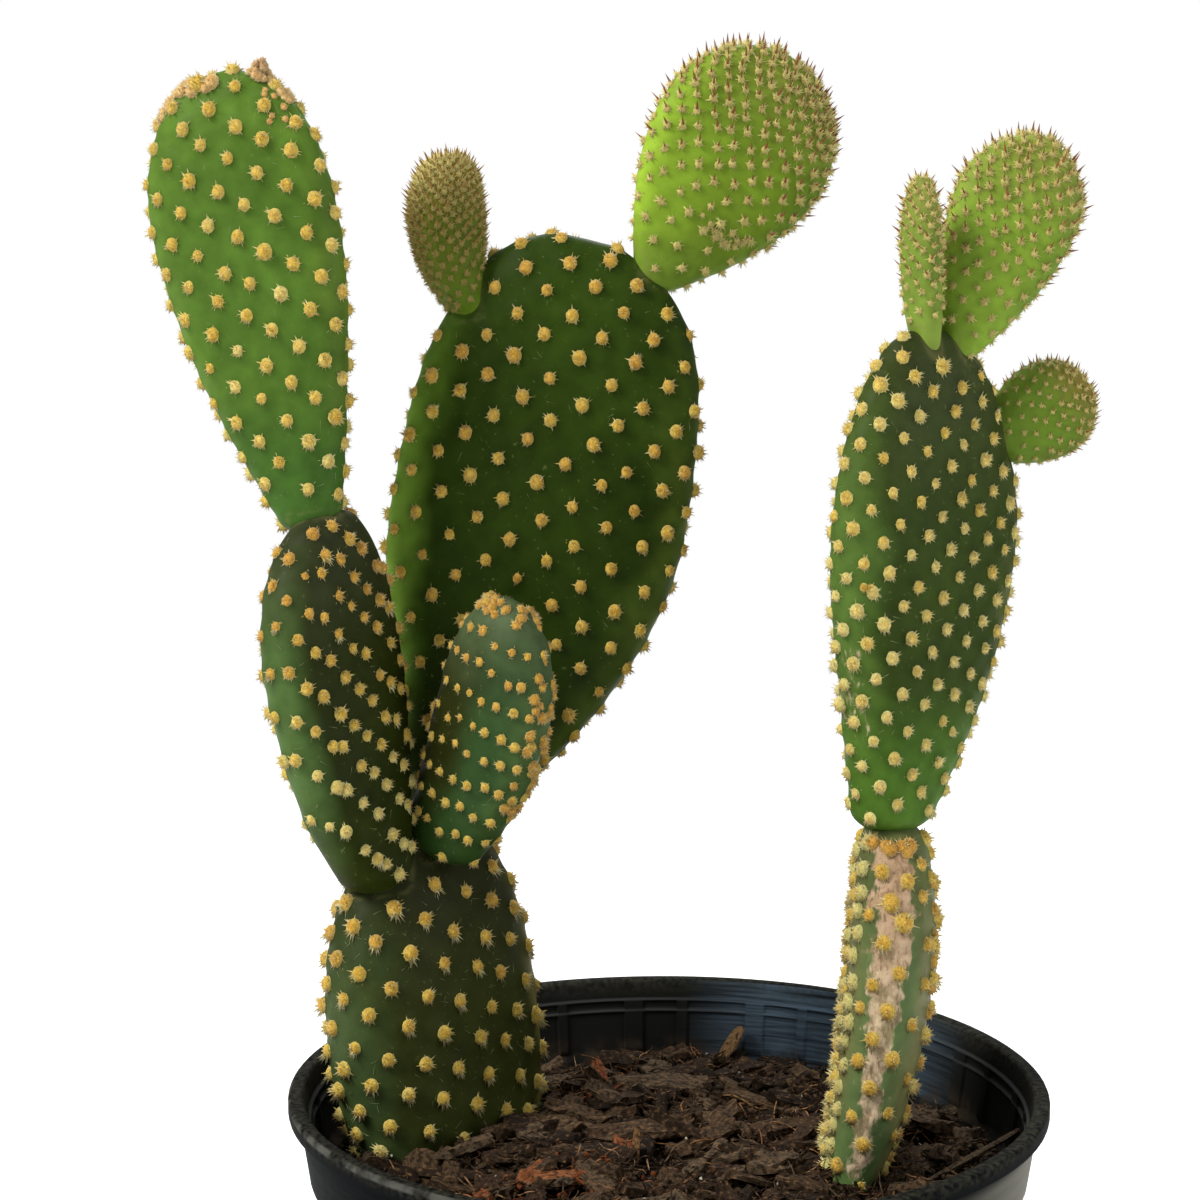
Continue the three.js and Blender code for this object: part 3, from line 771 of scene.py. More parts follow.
def storeFact(tree, geometry, name, value, domain="POINT", kind="FLOAT"):
    inputs = {"Geometry": geometry, "Name": name}
    node = addNode(tree, "GeometryNodeStoreNamedAttribute", inputs, data_type=kind, domain=domain)
    setInput(tree, next(slot for slot in node.inputs if slot.name == "Value" and slot.enabled), value)
    return node.outputs[0]


def randomNumber(tree, low, high, seed):
    inputs = {2: low, 3: high, "Seed": seed}
    return addNode(tree, "FunctionNodeRandomValue", inputs, data_type="FLOAT").outputs[1]


def randomWay(tree, seed):
    inputs = {0: (-1, -1, -1), 1: (1, 1, 1), "Seed": seed}
    return addNode(tree, "FunctionNodeRandomValue", inputs, data_type="FLOAT_VECTOR").outputs[0]


def turnedTo(tree, way, spin=None):
    rotation = addNode(tree, "FunctionNodeAlignRotationToVector", {"Vector": way}, axis="Z").outputs[0]
    if spin is None:
        return rotation
    about = addNode(tree, "FunctionNodeAxisAngleToRotation", {"Axis": (0, 0, 1), "Angle": spin}).outputs[0]
    inputs = {"Rotation": rotation, "Rotate By": about}
    return addNode(tree, "FunctionNodeRotateRotation", inputs, rotation_space="LOCAL").outputs[0]


# An instance on each point.
def onPoints(tree, points, instance, rotation, scale, **picks):
    inputs = {"Points": points, "Instance": instance, "Rotation": rotation, "Scale": scale, **picks}
    return addNode(tree, "GeometryNodeInstanceOnPoints", inputs).outputs[0]


# The one of the tree's few shapes that is stored at each point.
def shapesOnPoints(tree, points, given, rotation, scale):
    inputs = {"Collection": given["Shapes"], "Separate Children": True, "Reset Children": True}
    shapes = addNode(tree, "GeometryNodeCollectionInfo", inputs).outputs[0]
    picks = {"Pick Instance": True, "Instance Index": factOf(tree, "shape", "INT")}
    return onPoints(tree, points, shapes, rotation, scale, **picks)


# An open cone a unit long and two wide at its foot, with how far up it each point is.
def unitCone(tree, sides, segments, topRadius):
    inputs = {
        "Vertices": sides, "Side Segments": segments, "Radius Top": topRadius, "Radius Bottom": 1, "Depth": 1,
    }
    cone = addNode(tree, "GeometryNodeMeshCone", inputs, fill_type="NONE").outputs["Mesh"]
    height = partsOf(tree, addNode(tree, "GeometryNodeInputPosition").outputs[0])[2]
    return storeFact(tree, cone, "tip", height), height


def unitBristle(tree):
    return unitCone(tree, 3, 1, 0)[0]


# An icosahedron with corners a unit from its middle.
def twentyFaces():
    g = (1 + math.sqrt(5)) / 2
    corners = np.array([(-1, g, 0), (1, g, 0), (-1, -g, 0), (1, -g, 0), (0, -1, g), (0, 1, g),
                        (0, -1, -g), (0, 1, -g), (g, 0, -1), (g, 0, 1), (-g, 0, -1), (-g, 0, 1)], float)
    faces = [[0, 11, 5], [0, 5, 1], [0, 1, 7], [0, 7, 10], [0, 10, 11], [1, 5, 9], [5, 11, 4], [11, 10, 2],
             [10, 7, 6], [7, 1, 8], [3, 9, 4], [3, 4, 2], [3, 2, 6], [3, 6, 8], [3, 8, 9], [4, 9, 5],
             [2, 4, 11], [6, 2, 10], [8, 6, 7], [9, 8, 1]]
    return corners / np.linalg.norm(corners[0]), faces


# Cuts each face of a ball in four.
def finer(corners, faces):
    corners, halves, smaller = list(corners), {}, []
    for face in faces:
        mids = []
        for a, b in zip(face, face[1:] + face[:1]):
            key = (min(a, b), max(a, b))
            if key not in halves:
                halves[key] = len(corners)
                corners.append((corners[a] + corners[b]) / np.linalg.norm(corners[a] + corners[b]))
            mids.append(halves[key])
        a, b, c = face
        smaller += [[a, mids[0], mids[2]], [b, mids[1], mids[0]], [c, mids[2], mids[1]], mids]
    return np.array(corners), smaller


# The dense middle of a tuft, a dome about a unit in radius. tip is its unevenness, and rim 1 round the edge.
def tuftCore(draw, coarse=False):
    corners, faces = twentyFaces()
    if not coarse:
        corners, faces = finer(corners, faces)
    spun = draw.uniform(0, turnOnce)
    turn = np.array([[math.cos(spun), -math.sin(spun), 0], [math.sin(spun), math.cos(spun), 0], [0, 0, 1]])
    corners = corners @ turn.T
    kept = [face for face in faces if corners[face].mean(0)[2] > -0.32]
    used = sorted({corner for face in kept for corner in face})
    place = {old: new for new, old in enumerate(used)}
    uneven = draw.uniform(0, 1, len(used))
    points = corners[used] * (0.95 + 0.06 * uneven)[:, None] - (0.04, 0, 0)
    rim = np.clip(1 - corners[used][:, 2], 0, 1)
    facts = {"tip": np.clip(0.2 + 0.5 * uneven - 0.35 * rim ** 2, 0, 1), "rim": rim}
    return points, [[place[corner] for corner in face] for face in kept], facts


def coarseCore(draw):
    return tuftCore(draw, True)


# A set of a few shapes that a tree picks from.
def shapeSet(name, kinds, makeShape, draw, smooth=True):
    collection = bpy.data.collections.new(name + "_shapes")
    scene.collection.children.link(collection)
    for kind in range(kinds):
        corners, faces, facts = makeShape(draw)
        mesh = bpy.data.meshes.new(f"{name}_shape_{kind}")
        mesh.from_pydata(corners.tolist(), [], faces)
        if smooth:
            soften(mesh)
        keepFacts(mesh, facts)
        collection.objects.link(bpy.data.objects.new(mesh.name, mesh))
    return collection


def dropShapes(collection):
    for shape in list(collection.objects):
        bpy.data.objects.remove(shape)
    bpy.data.collections.remove(collection)


# Bristles that fan out from each tuft. toward and spread say which way they lean, start is how far out
# they begin, and chosen which tufts have them.
def fanOfBristles(tree, points, count, seed, toward, spread, start, length, width, pale, chosen=True):
    inputs = {"Geometry": points, "Amount": count, "Selection": chosen}
    copies = addNode(tree, "GeometryNodeDuplicateElements", inputs, domain="POINT").outputs[0]
    stray = vectorOf(tree, "MULTIPLY", randomWay(tree, seed), (spread, spread, spread * 1.25))
    leaning = vectorOf(tree, "NORMALIZE", vectorOf(tree, "ADD", toward, stray))
    copies = storeFact(tree, copies, "way", leaning, kind="FLOAT_VECTOR")
    size, way = factOf(tree, "size"), wayOf(tree, "way")
    inputs = {0: copies, "Offset": scaled(tree, way, times(tree, start, size))}
    moved = addNode(tree, "GeometryNodeSetPosition", inputs).outputs[0]
    long = times(tree, length, size, randomNumber(tree, 0.65, 1.2, seed))
    wide = times(tree, width, 0.5, size)
    fan = onPoints(tree, moved, unitBristle(tree), turnedTo(tree, way), packVector(tree, wide, wide, long))
    upright = vectorOf(tree, "DOT_PRODUCT", way, wayOf(tree, "outward"))
    fan = storeFact(tree, fan, "rim", restOf(tree, upright), "INSTANCE")
    return storeFact(tree, fan, "pale", pale, "INSTANCE")


# A tuft's core on each point, its +x turned upwards.
def domes(tree, points, given, pale):
    size = factOf(tree, "size")
    half = times(tree, given["Tuft Width"], 0.5, size)
    high = times(tree, given["Tuft Height"], size)
    inputs = {"Rotation": turnedTo(tree, wayOf(tree, "outward")), "Vector": (0, 0, 1)}
    upward = addNode(tree, "FunctionNodeAlignRotationToVector", inputs, axis="X", pivot_axis="Z").outputs[0]
    scale = packVector(tree, times(tree, half, given["Upright"]), half, high)
    return storeFact(tree, shapesOnPoints(tree, points, given, upward, scale), "pale", pale, "INSTANCE")


def maturePadTree():
    tree, given, points = startTree("bristle tufts of a grown pad", tuftWork)
    outward, below = wayOf(tree, "outward"), packVector(tree, 0.0, 0.0, -1.0)
    seeds = [plus(tree, given["Seed"], number) for number in (1, 2)]
    start = times(tree, given["Tuft Width"], 0.2)
    aside = vectorOf(tree, "ADD", scaled(tree, outward, 0.4), scaled(tree, below, given["Droop"]))
    hairs = fanOfBristles(tree, points, given["Hairs"], seeds[0], aside, 1.05, start,
                          given["Hair Length"], given["Hair Width"], randomNumber(tree, -0.2, 0.9, seeds[1]))
    hanging = vectorOf(tree, "ADD", scaled(tree, outward, 0.7), below)
    tailed = addNode(tree, "FunctionNodeCompare", {0: factOf(tree, "tail"), 1: 0.5}, operation="GREATER_THAN")
    brush = fanOfBristles(tree, points, given["Brush Bristles"], seeds[1], hanging, 0.45,
                          times(tree, start, 0.4), given["Brush Length"], given["Brush Width"], 1.0,
                          tailed.outputs[0])
    return finishTree(tree, given, [domes(tree, points, given, 0.0), hairs, brush])


def youngPadTree():
    tree, given, points = startTree("small tufts and leaves of a young pad", youngWork)
    outward = wayOf(tree, "outward")
    seeds = [plus(tree, given["Seed"], number) for number in (1, 2)]
    start = times(tree, given["Tuft Width"], 0.2)
    fans = fanOfBristles(tree, points, given["Hairs"], seeds[0], scaled(tree, outward, 0.7), 1.1, start,
                         given["Hair Length"], given["Hair Width"], randomNumber(tree, 0.4, 1.0, seeds[1]))
    rise = scaled(tree, packVector(tree, 0.0, 0.0, 1.0), given["Leaf Rise"])
    stray = scaled(tree, randomWay(tree, seeds[1]), 0.16)
    way = vectorOf(tree, "ADD", vectorOf(tree, "ADD", outward, rise), stray)
    leaf, height = unitCone(tree, 4, 2, 0.02)
    leaf = storeFact(tree, leaf, "leaf", 1.0)
    bend = packVector(tree, times(tree, height, height, 0.5), 0.0)
    leaf = addNode(tree, "GeometryNodeSetPosition", {0: leaf, "Offset": bend}).outputs[0]
    size = factOf(tree, "leafSize")
    wide = times(tree, given["Leaf Width"], 0.5, size)
    long = times(tree, given["Leaf Length"], size)
    turn = turnedTo(tree, vectorOf(tree, "NORMALIZE", way), times(tree, factOf(tree, "warm"), 6.3))
    leaves = onPoints(tree, points, leaf, turn, packVector(tree, wide, wide, long))
    return finishTree(tree, given, [domes(tree, points, given, 0.3), fans, leaves])


def bakedMesh(source):
    depsgraph = bpy.context.evaluated_depsgraph_get()
    return bpy.data.meshes.new_from_object(
        source.evaluated_get(depsgraph), preserve_all_data_layers=True, depsgraph=depsgraph)


# Runs a tree on a mesh of points and keeps the result as a plain mesh.
def grow(source, name, tree, values, material):
    modifier = source.modifiers.new("grow", "NODES")
    modifier.node_group = tree
    values = {**values, "Material": material}
    for item in tree.interface.items_tree:
        if item.in_out == "INPUT" and item.name in values:
            modifier[item.identifier] = values[item.name]
    scene.view_layers[0].update()
    mesh = bakedMesh(source)
    source.modifiers.remove(modifier)
    bpy.data.objects.remove(source)
    mesh.name = name
    if not mesh.materials:
        mesh.materials.append(material)
    return objectOf(name, mesh)


# Shades of a golden tuft: the gold at which each starts and is full, and its colour low down and at the tips.
goldenShades = {
    "warm": (0.35, 1.0, (160, 114, 40), (216, 172, 78)),
    "creamy": (0.38, 0.0, (190, 176, 96), (236, 226, 150)),
    "peach": (1.0, 1.4, (196, 158, 96), (232, 206, 148)),
    "rosy": (1.5, 2.0, (170, 126, 86), (206, 170, 132)),
    "mossy": (2.2, 2.6, (174, 170, 98), (216, 210, 140)),
}


# Golden tufts: brown at their roots, straw at the tips, cream where they hang, and painted shade darkening
# their undersides.
def goldenTuftMaterial():
    material, tree, shader, place = freshMaterial("golden bristle tufts")
    tip, pale, gold, rim = (attributeOf(tree, fact) for fact in ("tip", "pale", "gold", "rim"))
    body, ends = (182, 152, 54), (232, 208, 102)
    for start, full, low, high in goldenShades.values():
        share = easedShare(tree, gold, start, full)
        body, ends = blendColours(tree, share, body, low), blendColours(tree, share, ends, high)
    middle, fuzz = restOf(tree, rim), blotches(tree, place, 0.26, 2)
    root = blendColours(tree, 0.5, body, (112, 82, 28))
    facing = partsOf(tree, addNode(tree, "ShaderNodeNewGeometry").outputs["Normal"])[2]
    colour = layered(
        tree, blendColours(tree, easedShare(tree, tip, 0.0, 0.35), root, body),
        (easedShare(tree, tip, 0.2, 0.9, 0.8), ends),
        (easedShare(tree, middle, 0.5, 1.0, 0.3), (208, 142, 38)),
        (easedShare(tree, middle, 0.6, 0.1, 0.4), blendColours(tree, 0.4, ends, (240, 232, 176))),
        (times(tree, pale, 0.85), (238, 230, 172)),
        (easedShare(tree, fuzz, 0.46, 0.62, 0.3), (132, 86, 34)),  # dark and pale flecks between the bristles
        (easedShare(tree, fuzz, 0.46, 0.34, 0.5), ends),
        # painted shade: faces that look downwards are darkened, less on pale bristles
        (times(tree, easedShare(tree, facing, -0.15, -0.85, 0.2), restOf(tree, pale)), (104, 62, 24)),
    )
    feed(tree, shader, colour=colour, normal=grain(tree, fuzz, 0.3, 0.9), roughness=0.75, shine=0.1,
         sheen=0.15, sheenRoughness=0.5)
    return material


# Young tufts: cream fluff round a pointed leaf that is tan below and red-brown above.
def youngTuftMaterial():
    material, tree, shader, place = freshMaterial("cream tufts and brown leaves")
    facts = ("tip", "pale", "leaf", "dusk", "russet")
    tip, pale, leaf, dusk, russet = (attributeOf(tree, fact) for fact in facts)
    fluff = layered(
        tree, blendColours(tree, easedShare(tree, tip, 0.1, 0.9), (140, 112, 50), (190, 180, 100)),
        (times(tree, pale, 0.7), (214, 204, 140)),
        (dusk, blendColours(tree, pale, (100, 88, 34), (150, 134, 68))),
    )
    brown = blendColours(tree, easedShare(tree, tip, 0.0, 0.35), (150, 112, 62), (124, 74, 44))
    brown = blendColours(tree, easedShare(tree, tip, 0.5, 1.0), brown, (88, 56, 30))
    brown = blendColours(tree, russet, (138, 106, 48), brown)
    streaks = easedShare(tree, blotches(tree, place, 0.6, 2), 0.5, 0.75, 0.4)
    brown = blendColours(tree, streaks, brown, (164, 116, 70))
    feed(tree, shader, colour=blendColours(tree, leaf, fluff, brown), roughness=0.7, shine=0.2)
    return material


tuftSpread = 0.07  # how much the tufts of a pad differ in size
# More tufts where the plant has grown or healed in a cluster: how many, the middle of their share of the
# length and its spread, degrees round the pad and their spread, size, gold, and height above the skin.
clusters = {
    "left_upper_pad": [
        (40, 0.945, 0.035, 180, 16, 0.7, 1.4, 0.3), (30, 0.978, 0.012, 190, 50, 0.66, 1.35, 0.3),
        (26, 0.945, 0.04, 354, 16, 0.6, 1.4, 0.4), (3, 0.975, 0.006, 262, 24, 1.1, 1.35, 0),
        (26, 0.966, 0.014, 356, 34, 0.56, 1.7, 1.3), (16, 0.966, 0.008, 352, 20, 0.5, 1.9, 2.0),
        (9, 0.966, 0.004, 352, 8, 0.46, 2.0, 2.7), (8, 0.9, 0.04, 320, 14, 0.6, 1.2, 0),
    ],
    "young_bright_pad": [(16, 0.33, 0.03, 296, 26, 0.8, 0, 0), (40, 0.9, 0.06, 330, 60, 0.6, 0, 0)],
    "small_front_pad": [
        (28, 0.965, 0.024, 320, 110, 0.9, 0.85, 0.1), (10, 0.42, 0.14, 182, 18, 0.85, 0.85, 0),
        (26, 0.6, 0.3, 0, 24, 1.0, 0.85, 0),
    ],
    "right_tall_pad": [(7, 0.5, 0.012, 214, 6, 0.6, 0.5, 0)],
}
# Tufts of the right trunk's front edge: share of its length, share across from right to left, and size.
stripTufts = [
    (0.91, 0.26, 1.1), (0.9, -0.42, 1.1), (0.855, 0, 1.35), (0.82, 0.5, 0.95), (0.82, -0.33, 1.4),
    (0.773, 0.12, 1.15), (0.718, -0.27, 1.1), (0.684, 0.3, 0.95), (0.637, -0.1, 1.15), (0.63, 0.52, 0.95),
    (0.573, 0.17, 1.1), (0.538, -0.35, 1.2), (0.52, 0.42, 1.1), (0.47, 0.05, 1.1), (0.4, 0.35, 1.0),
    (0.346, -0.1, 1.1), (0.286, 0.45, 1.15), (0.42, -0.5, 1.0), (0.49, -0.75, 1.0), (0.61, -0.65, 1.0),
    (0.69, -0.83, 1.0), (0.773, -0.83, 1.0), (0.87, -0.75, 1.0), (0.93, -0.8, 0.95), (0.36, -0.8, 0.95),
    (0.25, -0.35, 0.95), (0.2, 0.15, 1.0),
]


# All the tufts of that edge, with each one's gold: the listed ones, a row under the pad above, two crowded
# columns on the left and one down the right.
def frontTufts():
    tufts = [(t, side, 0.92 * size, 0.62) for t, side, size in stripTufts]
    for i in range(12):
        dip, bulge = 0.02 * math.sin(2.4 * i) ** 2, 0.2 * math.sin(5 * i) ** 2
        tufts.append((0.974 - dip, -0.72 + 0.13 * i, 0.85 + bulge, 0.95))
    for start, side in ((0.1, 0.985), (0.125, 0.75)):
        for i in range(19):
            t, aside = start + 0.046 * i + 0.006 * math.sin(5 * i + side), side + 0.03 * math.sin(3 * i)
            tufts.append((t, aside, 1.1 + 0.08 * math.sin(7 * i), 2.7))
    return tufts + [(0.12 + 0.055 * i, -0.97, 0.95, 0.85) for i in range(15)]


# Every tuft of a pad in a row each: share of the length, turn round it, size, gold and height above the skin.
def tuftsOf(name, number):
    pad = pads[name]
    if pad["rows"]:
        spots = rowPlaces(pad, 0.08, drawSeeds["places"] + number)
    else:
        spots = tuftPlaces(pad, pad["tuftArea"], 0.045, drawSeeds["places"] + number)
    draw = np.random.default_rng(drawSeeds["sizes"] + number)
    count = len(spots)
    low, high = pad["gold"]
    gold = low + (high - low) * eased(spots[:, 0], 0.15, 0.9) + draw.normal(0, 0.08, count)
    size = np.clip(draw.normal(1, tuftSpread, count), 0.75, 1.25)
    if not pad["young"]:
        size *= 1 + 0.12 * eased(spots[:, 0], 0.86, 0.97)
    tufts = np.column_stack([spots, size, gold, np.zeros(count)])
    if name == "right_trunk_pad":
        across = np.abs(np.sin(tufts[:, 1])) ** 0.83
        tufts = tufts[~((np.cos(tufts[:, 1]) < 0) & (across < 0.88))]
        for t, side, big, warm in frontTufts():
            turn = math.pi - math.copysign(math.asin(min(1, abs(side) ** 1.2)), side)
            tufts = np.vstack([tufts, (t, turn, big, warm, 0)])
    for many, t, spread, around, sweep, big, warm, above in clusters.get(name, []):
        high = np.minimum(t + draw.uniform(-spread, spread, many), 0.992)
        turn = np.radians(around + draw.uniform(-sweep, sweep, many))
        lifts = above * draw.uniform(0.5, 1.4, many)
        more = np.column_stack([high, turn, big * draw.uniform(0.8, 1.2, many), np.full(many, warm), lifts])
        tufts = np.vstack([tufts, more])
    return tufts


def normalsOf(pad, places):
    return skinNormal(pad, places[:, 0], places[:, 1]) @ padTurn(pad).T


def padTufts(name, tufts, points, seed):
    pad = pads[name]
    count = len(points)
    draw = np.random.default_rng(seed)
    outward = normalsOf(pad, tufts)
    size = pad["tuftSize"] * tufts[:, 2]
    hanging = (draw.random(count) < pad["tail"]) & (outward[:, 2] < 0.6)
    grown = eased(tufts[:, 0], 0.18, 0.5)
    facts = {
        "outward": outward, "size": size, "warm": draw.random(count), "tail": hanging.astype(float),
        "gold": np.clip(tufts[:, 3], 0, 3), "dusk": pad["dusk"] * (1 - 0.75 * eased(tufts[:, 0], 0.55, 0.95)),
        "leaf": np.zeros(count), "russet": np.full(count, pad["russet"]),
        "leafSize": size * draw.uniform(0.75, 1.15, count) * (0.2 + 0.8 * grown),
        "shape": draw.integers(0, coreKinds, count),
    }
    sunk = points - outward * 0.05 + skyward * tufts[:, 4:5]
    source = objectFrom(name + "_tuft_places", sunk, [], facts)
    if pad["young"]:
        work, tree, material, shapes = youngWork, youngTree, youngTufts, smallDomes
    else:
        work, tree, material, shapes = tuftWork, matureTree, goldenTufts, wideDomes
    made = grow(source, name + "_tufts", tree, {"Seed": work["seed"] + seed, "Shapes": shapes}, material)
    dropFacts(made.data, ("outward", "size", "tail", "leafSize", "way", "warm", "shape"))
    return made


goldenTufts, youngTufts = goldenTuftMaterial(), youngTuftMaterial()
matureTree, youngTree = maturePadTree(), youngPadTree()
coreKinds = 6
wideDomes = shapeSet("wide_domes", coreKinds, tuftCore, np.random.default_rng(drawSeeds["wideDomes"]))
smallDomes = shapeSet("small_domes", coreKinds, coarseCore, np.random.default_rng(drawSeeds["smallDomes"]))

looseWays, looseSpots = [], []
for number, (name, pad) in enumerate(pads.items()):
    tufts, spots = clearPlaces(name, tuftsOf(name, number), skinWork["tuftMargin"], skinWork["tuftAboveMix"])
    handOver(buildSkin(name, spots[tufts[:, 4] == 0]), [name])
    handOver(padTufts(name, tufts, spots, number), [name])
    shed = tuftPlaces(pad, pad["loose"], 0.6, drawSeeds["loose"] + number)
    shed, shedSpots = clearPlaces(name, shed, skinWork["looseMargin"], skinWork["looseAboveMix"])
    normals = normalsOf(pad, shed)
    stray = np.random.default_rng(drawSeeds["lie"] + number).normal(size=(len(shed), 3))
    flat = stray - normals * (stray * normals).sum(1)[:, None]
    looseWays.append(flat / np.linalg.norm(flat, axis=1)[:, None] + normals * 0.06)
    looseSpots.append(shedSpots + normals * 0.12)
    print(f"{name}: {len(spots)} tufts, {len(shed)} loose bristles")
dropShapes(wideDomes)
dropShapes(smallDomes)


# Bristles that have come off and lie on the skin.
looseWork = {"bristleLength": 1.8, "bristleWidth": 0.075, "seed": 3}


def looseTree():
    tree, given, points = startTree("loose bristles", looseWork)
    long = times(tree, given["Bristle Length"], randomNumber(tree, 0.5, 1.5, given["Seed"]))
    wide = times(tree, given["Bristle Width"], 0.5)
    turn = turnedTo(tree, wayOf(tree, "lie"))
    return finishTree(tree, given, [
        onPoints(tree, points, unitBristle(tree), turn, packVector(tree, wide, wide, long))])


def looseMaterial():
    material, tree, shader, place = freshMaterial("pale loose bristles")
    colour = blendColours(tree, blotches(tree, place, 6, 1), (104, 118, 78), (176, 178, 132))
    feed(tree, shader, colour=colour, roughness=0.6)
    return material


source = objectFrom("loose_places", np.concatenate(looseSpots), [], {"lie": np.concatenate(looseWays)})
handOver(grow(source, "loose_bristles", looseTree(), {}, looseMaterial()), [])


# The pot: one turned shell, from the middle of its underside up the outside and down the inside, as
# radius and height.
def potProfile():
    work = potWork
    top, rim, wall, rounding = work["height"], work["rimRadius"], work["wall"], work["rimRounding"]
    disc, foot, raised = work["middleDisc"], work["footRadius"], work["footRingRise"]
    ring, inside, rimBottom = foot - work["footRingWidth"], rim - work["rimWidth"], top - work["rimHeight"]
    below, above = ledgeHeight - 1, ledgeHeight + 0.4  # where the ledge starts and ends
    narrow, wide = wallOutside(below), wallOutside(above)

    def walls(levels, thinner=0):
        return [(wallOutside(z) - thinner, z) for z in levels]

    def quarter(middle, start, steps):
        turns = np.radians(np.linspace(start, start + 90, steps))
        return [(middle + rounding * math.cos(a), top - rounding + rounding * math.sin(a)) for a in turns]

    levels = set(np.arange(rimBottom - 0.9, ledgeHeight + 0.5, -0.8).round(2))
    nearRidge = (-0.8, -0.5, -0.25, 0.0, 0.2, 0.4, 0.6, 0.9)
    levels |= {round(ridge + aside, 2) for ridge in work["ridges"] for aside in nearRidge}
    levels = sorted((z for z in levels if z < rimBottom - 0.1), reverse=True)
    return np.array([
        (disc, 0), (disc + 0.5, 0.4), (disc + 1, raised),
        *((r, raised) for r in np.linspace(disc + 4, ring - 4, 8)),
        (ring - 1, raised), (ring - 0.5, 0.4), (ring, 0), (foot - 0.8, 0),
        *walls([0.5, 1.2, *np.linspace(4, ledgeHeight - 1.6, 20)]),
        (narrow, below), (narrow + 0.2, ledgeHeight - 0.8), (wide - 0.1, ledgeHeight + 0.1), (wide, above),
        *walls(np.linspace(ledgeHeight + 2, rimBottom - 0.6, 6)),
        (work["neckRadius"] + 0.15, rimBottom), (rim - 0.5, rimBottom), (rim - 0.1, rimBottom + 0.2),
        (rim, rimBottom + 0.6),
        *quarter(rim - rounding, 0, 7), *quarter(inside + rounding, 90, 6),
        *walls(levels, wall),
        (wide - wall - 0.1, ledgeHeight + 0.2), (narrow - wall + 0.1, ledgeHeight - 0.8),
        (narrow - wall, below),
        *walls(np.linspace(ledgeHeight - 3, floorTop + 1, 14), wall),
        (wallOutside(floorTop) - wall - 1, floorTop), *((r, floorTop) for r in np.linspace(46, 4, 10)),
    ])


# How far round the pot, in degrees, each angle is from the middle of a rib.
def fromRib(angles, middle):
    return np.abs((angles - middle + 180) % 360 - 180)


# Angles round the pot, with a close pair at each side of a rib, and how far ribs and ridges stand out.
def potRelief(profile, inner):
    work = potWork
    degree = 180 / math.pi / work["ribCircle"]  # a millimetre along the inner wall, in degrees
    starts = work["ribStart"] + 360 / work["ribs"] * np.arange(work["ribs"])
    ribs = [(middle, work["wideRib"]) for middle in starts]
    ribs += [(middle + work["narrowRibAfter"], work["narrowRib"]) for middle in starts]
    angles = np.arange(work["sides"]) * 360 / work["sides"]
    for middle, width in ribs:
        near = width / 2 * degree
        flanks = [(middle + side * (near + off)) % 360 for side in (-1, 1) for off in (0, work["ribFlank"])]
        angles = np.concatenate([angles[fromRib(angles, middle) > near + 0.6], flanks])
    angles = np.sort(angles)
    heights = profile[:, 1]
    raised = np.zeros((len(profile), len(angles)))
    reach = inner * eased(work["ridges"][0] + 0.4 - heights, 0, 0.4)
    for middle, width in ribs:
        on = fromRib(angles, middle) / degree < width / 2 + 0.05
        raised = np.maximum(raised, reach[:, None] * on * work["ribRise"])
    for ridge in work["ridges"]:
        bump = bell(heights - ridge, work["ridgeWidth"]) * inner
        raised = np.maximum(raised, bump[:, None] * work["ridgeRise"])
    return np.radians(angles), raised


# Upright pegs that cut the drain holes.
def drainDrill():
    work, sides, reach = potWork, potWork["drainSides"], potWork["drainRadius"]
    turns = np.arange(sides) * turnOnce / sides
    corners, faces = [], []
    for i in range(work["drainHoles"]):
        middle, base = (i + 0.5) * turnOnce / work["drainHoles"], len(corners)
        x, y = work["drainCircle"] * math.cos(middle), work["drainCircle"] * math.sin(middle)
        for z in (-2, 2 * floorTop):
            corners += [(x + reach * math.cos(a), y + reach * math.sin(a), z) for a in turns]
        faces += ringFaces(2, sides, base)
        faces += [list(range(base + sides - 1, base - 1, -1)), list(range(base + sides, base + 2 * sides))]
    mesh = bpy.data.meshes.new("drain_drill")
    mesh.from_pydata((np.array(corners) * mm).tolist(), [], faces)
    return objectOf("drain_drill", mesh)


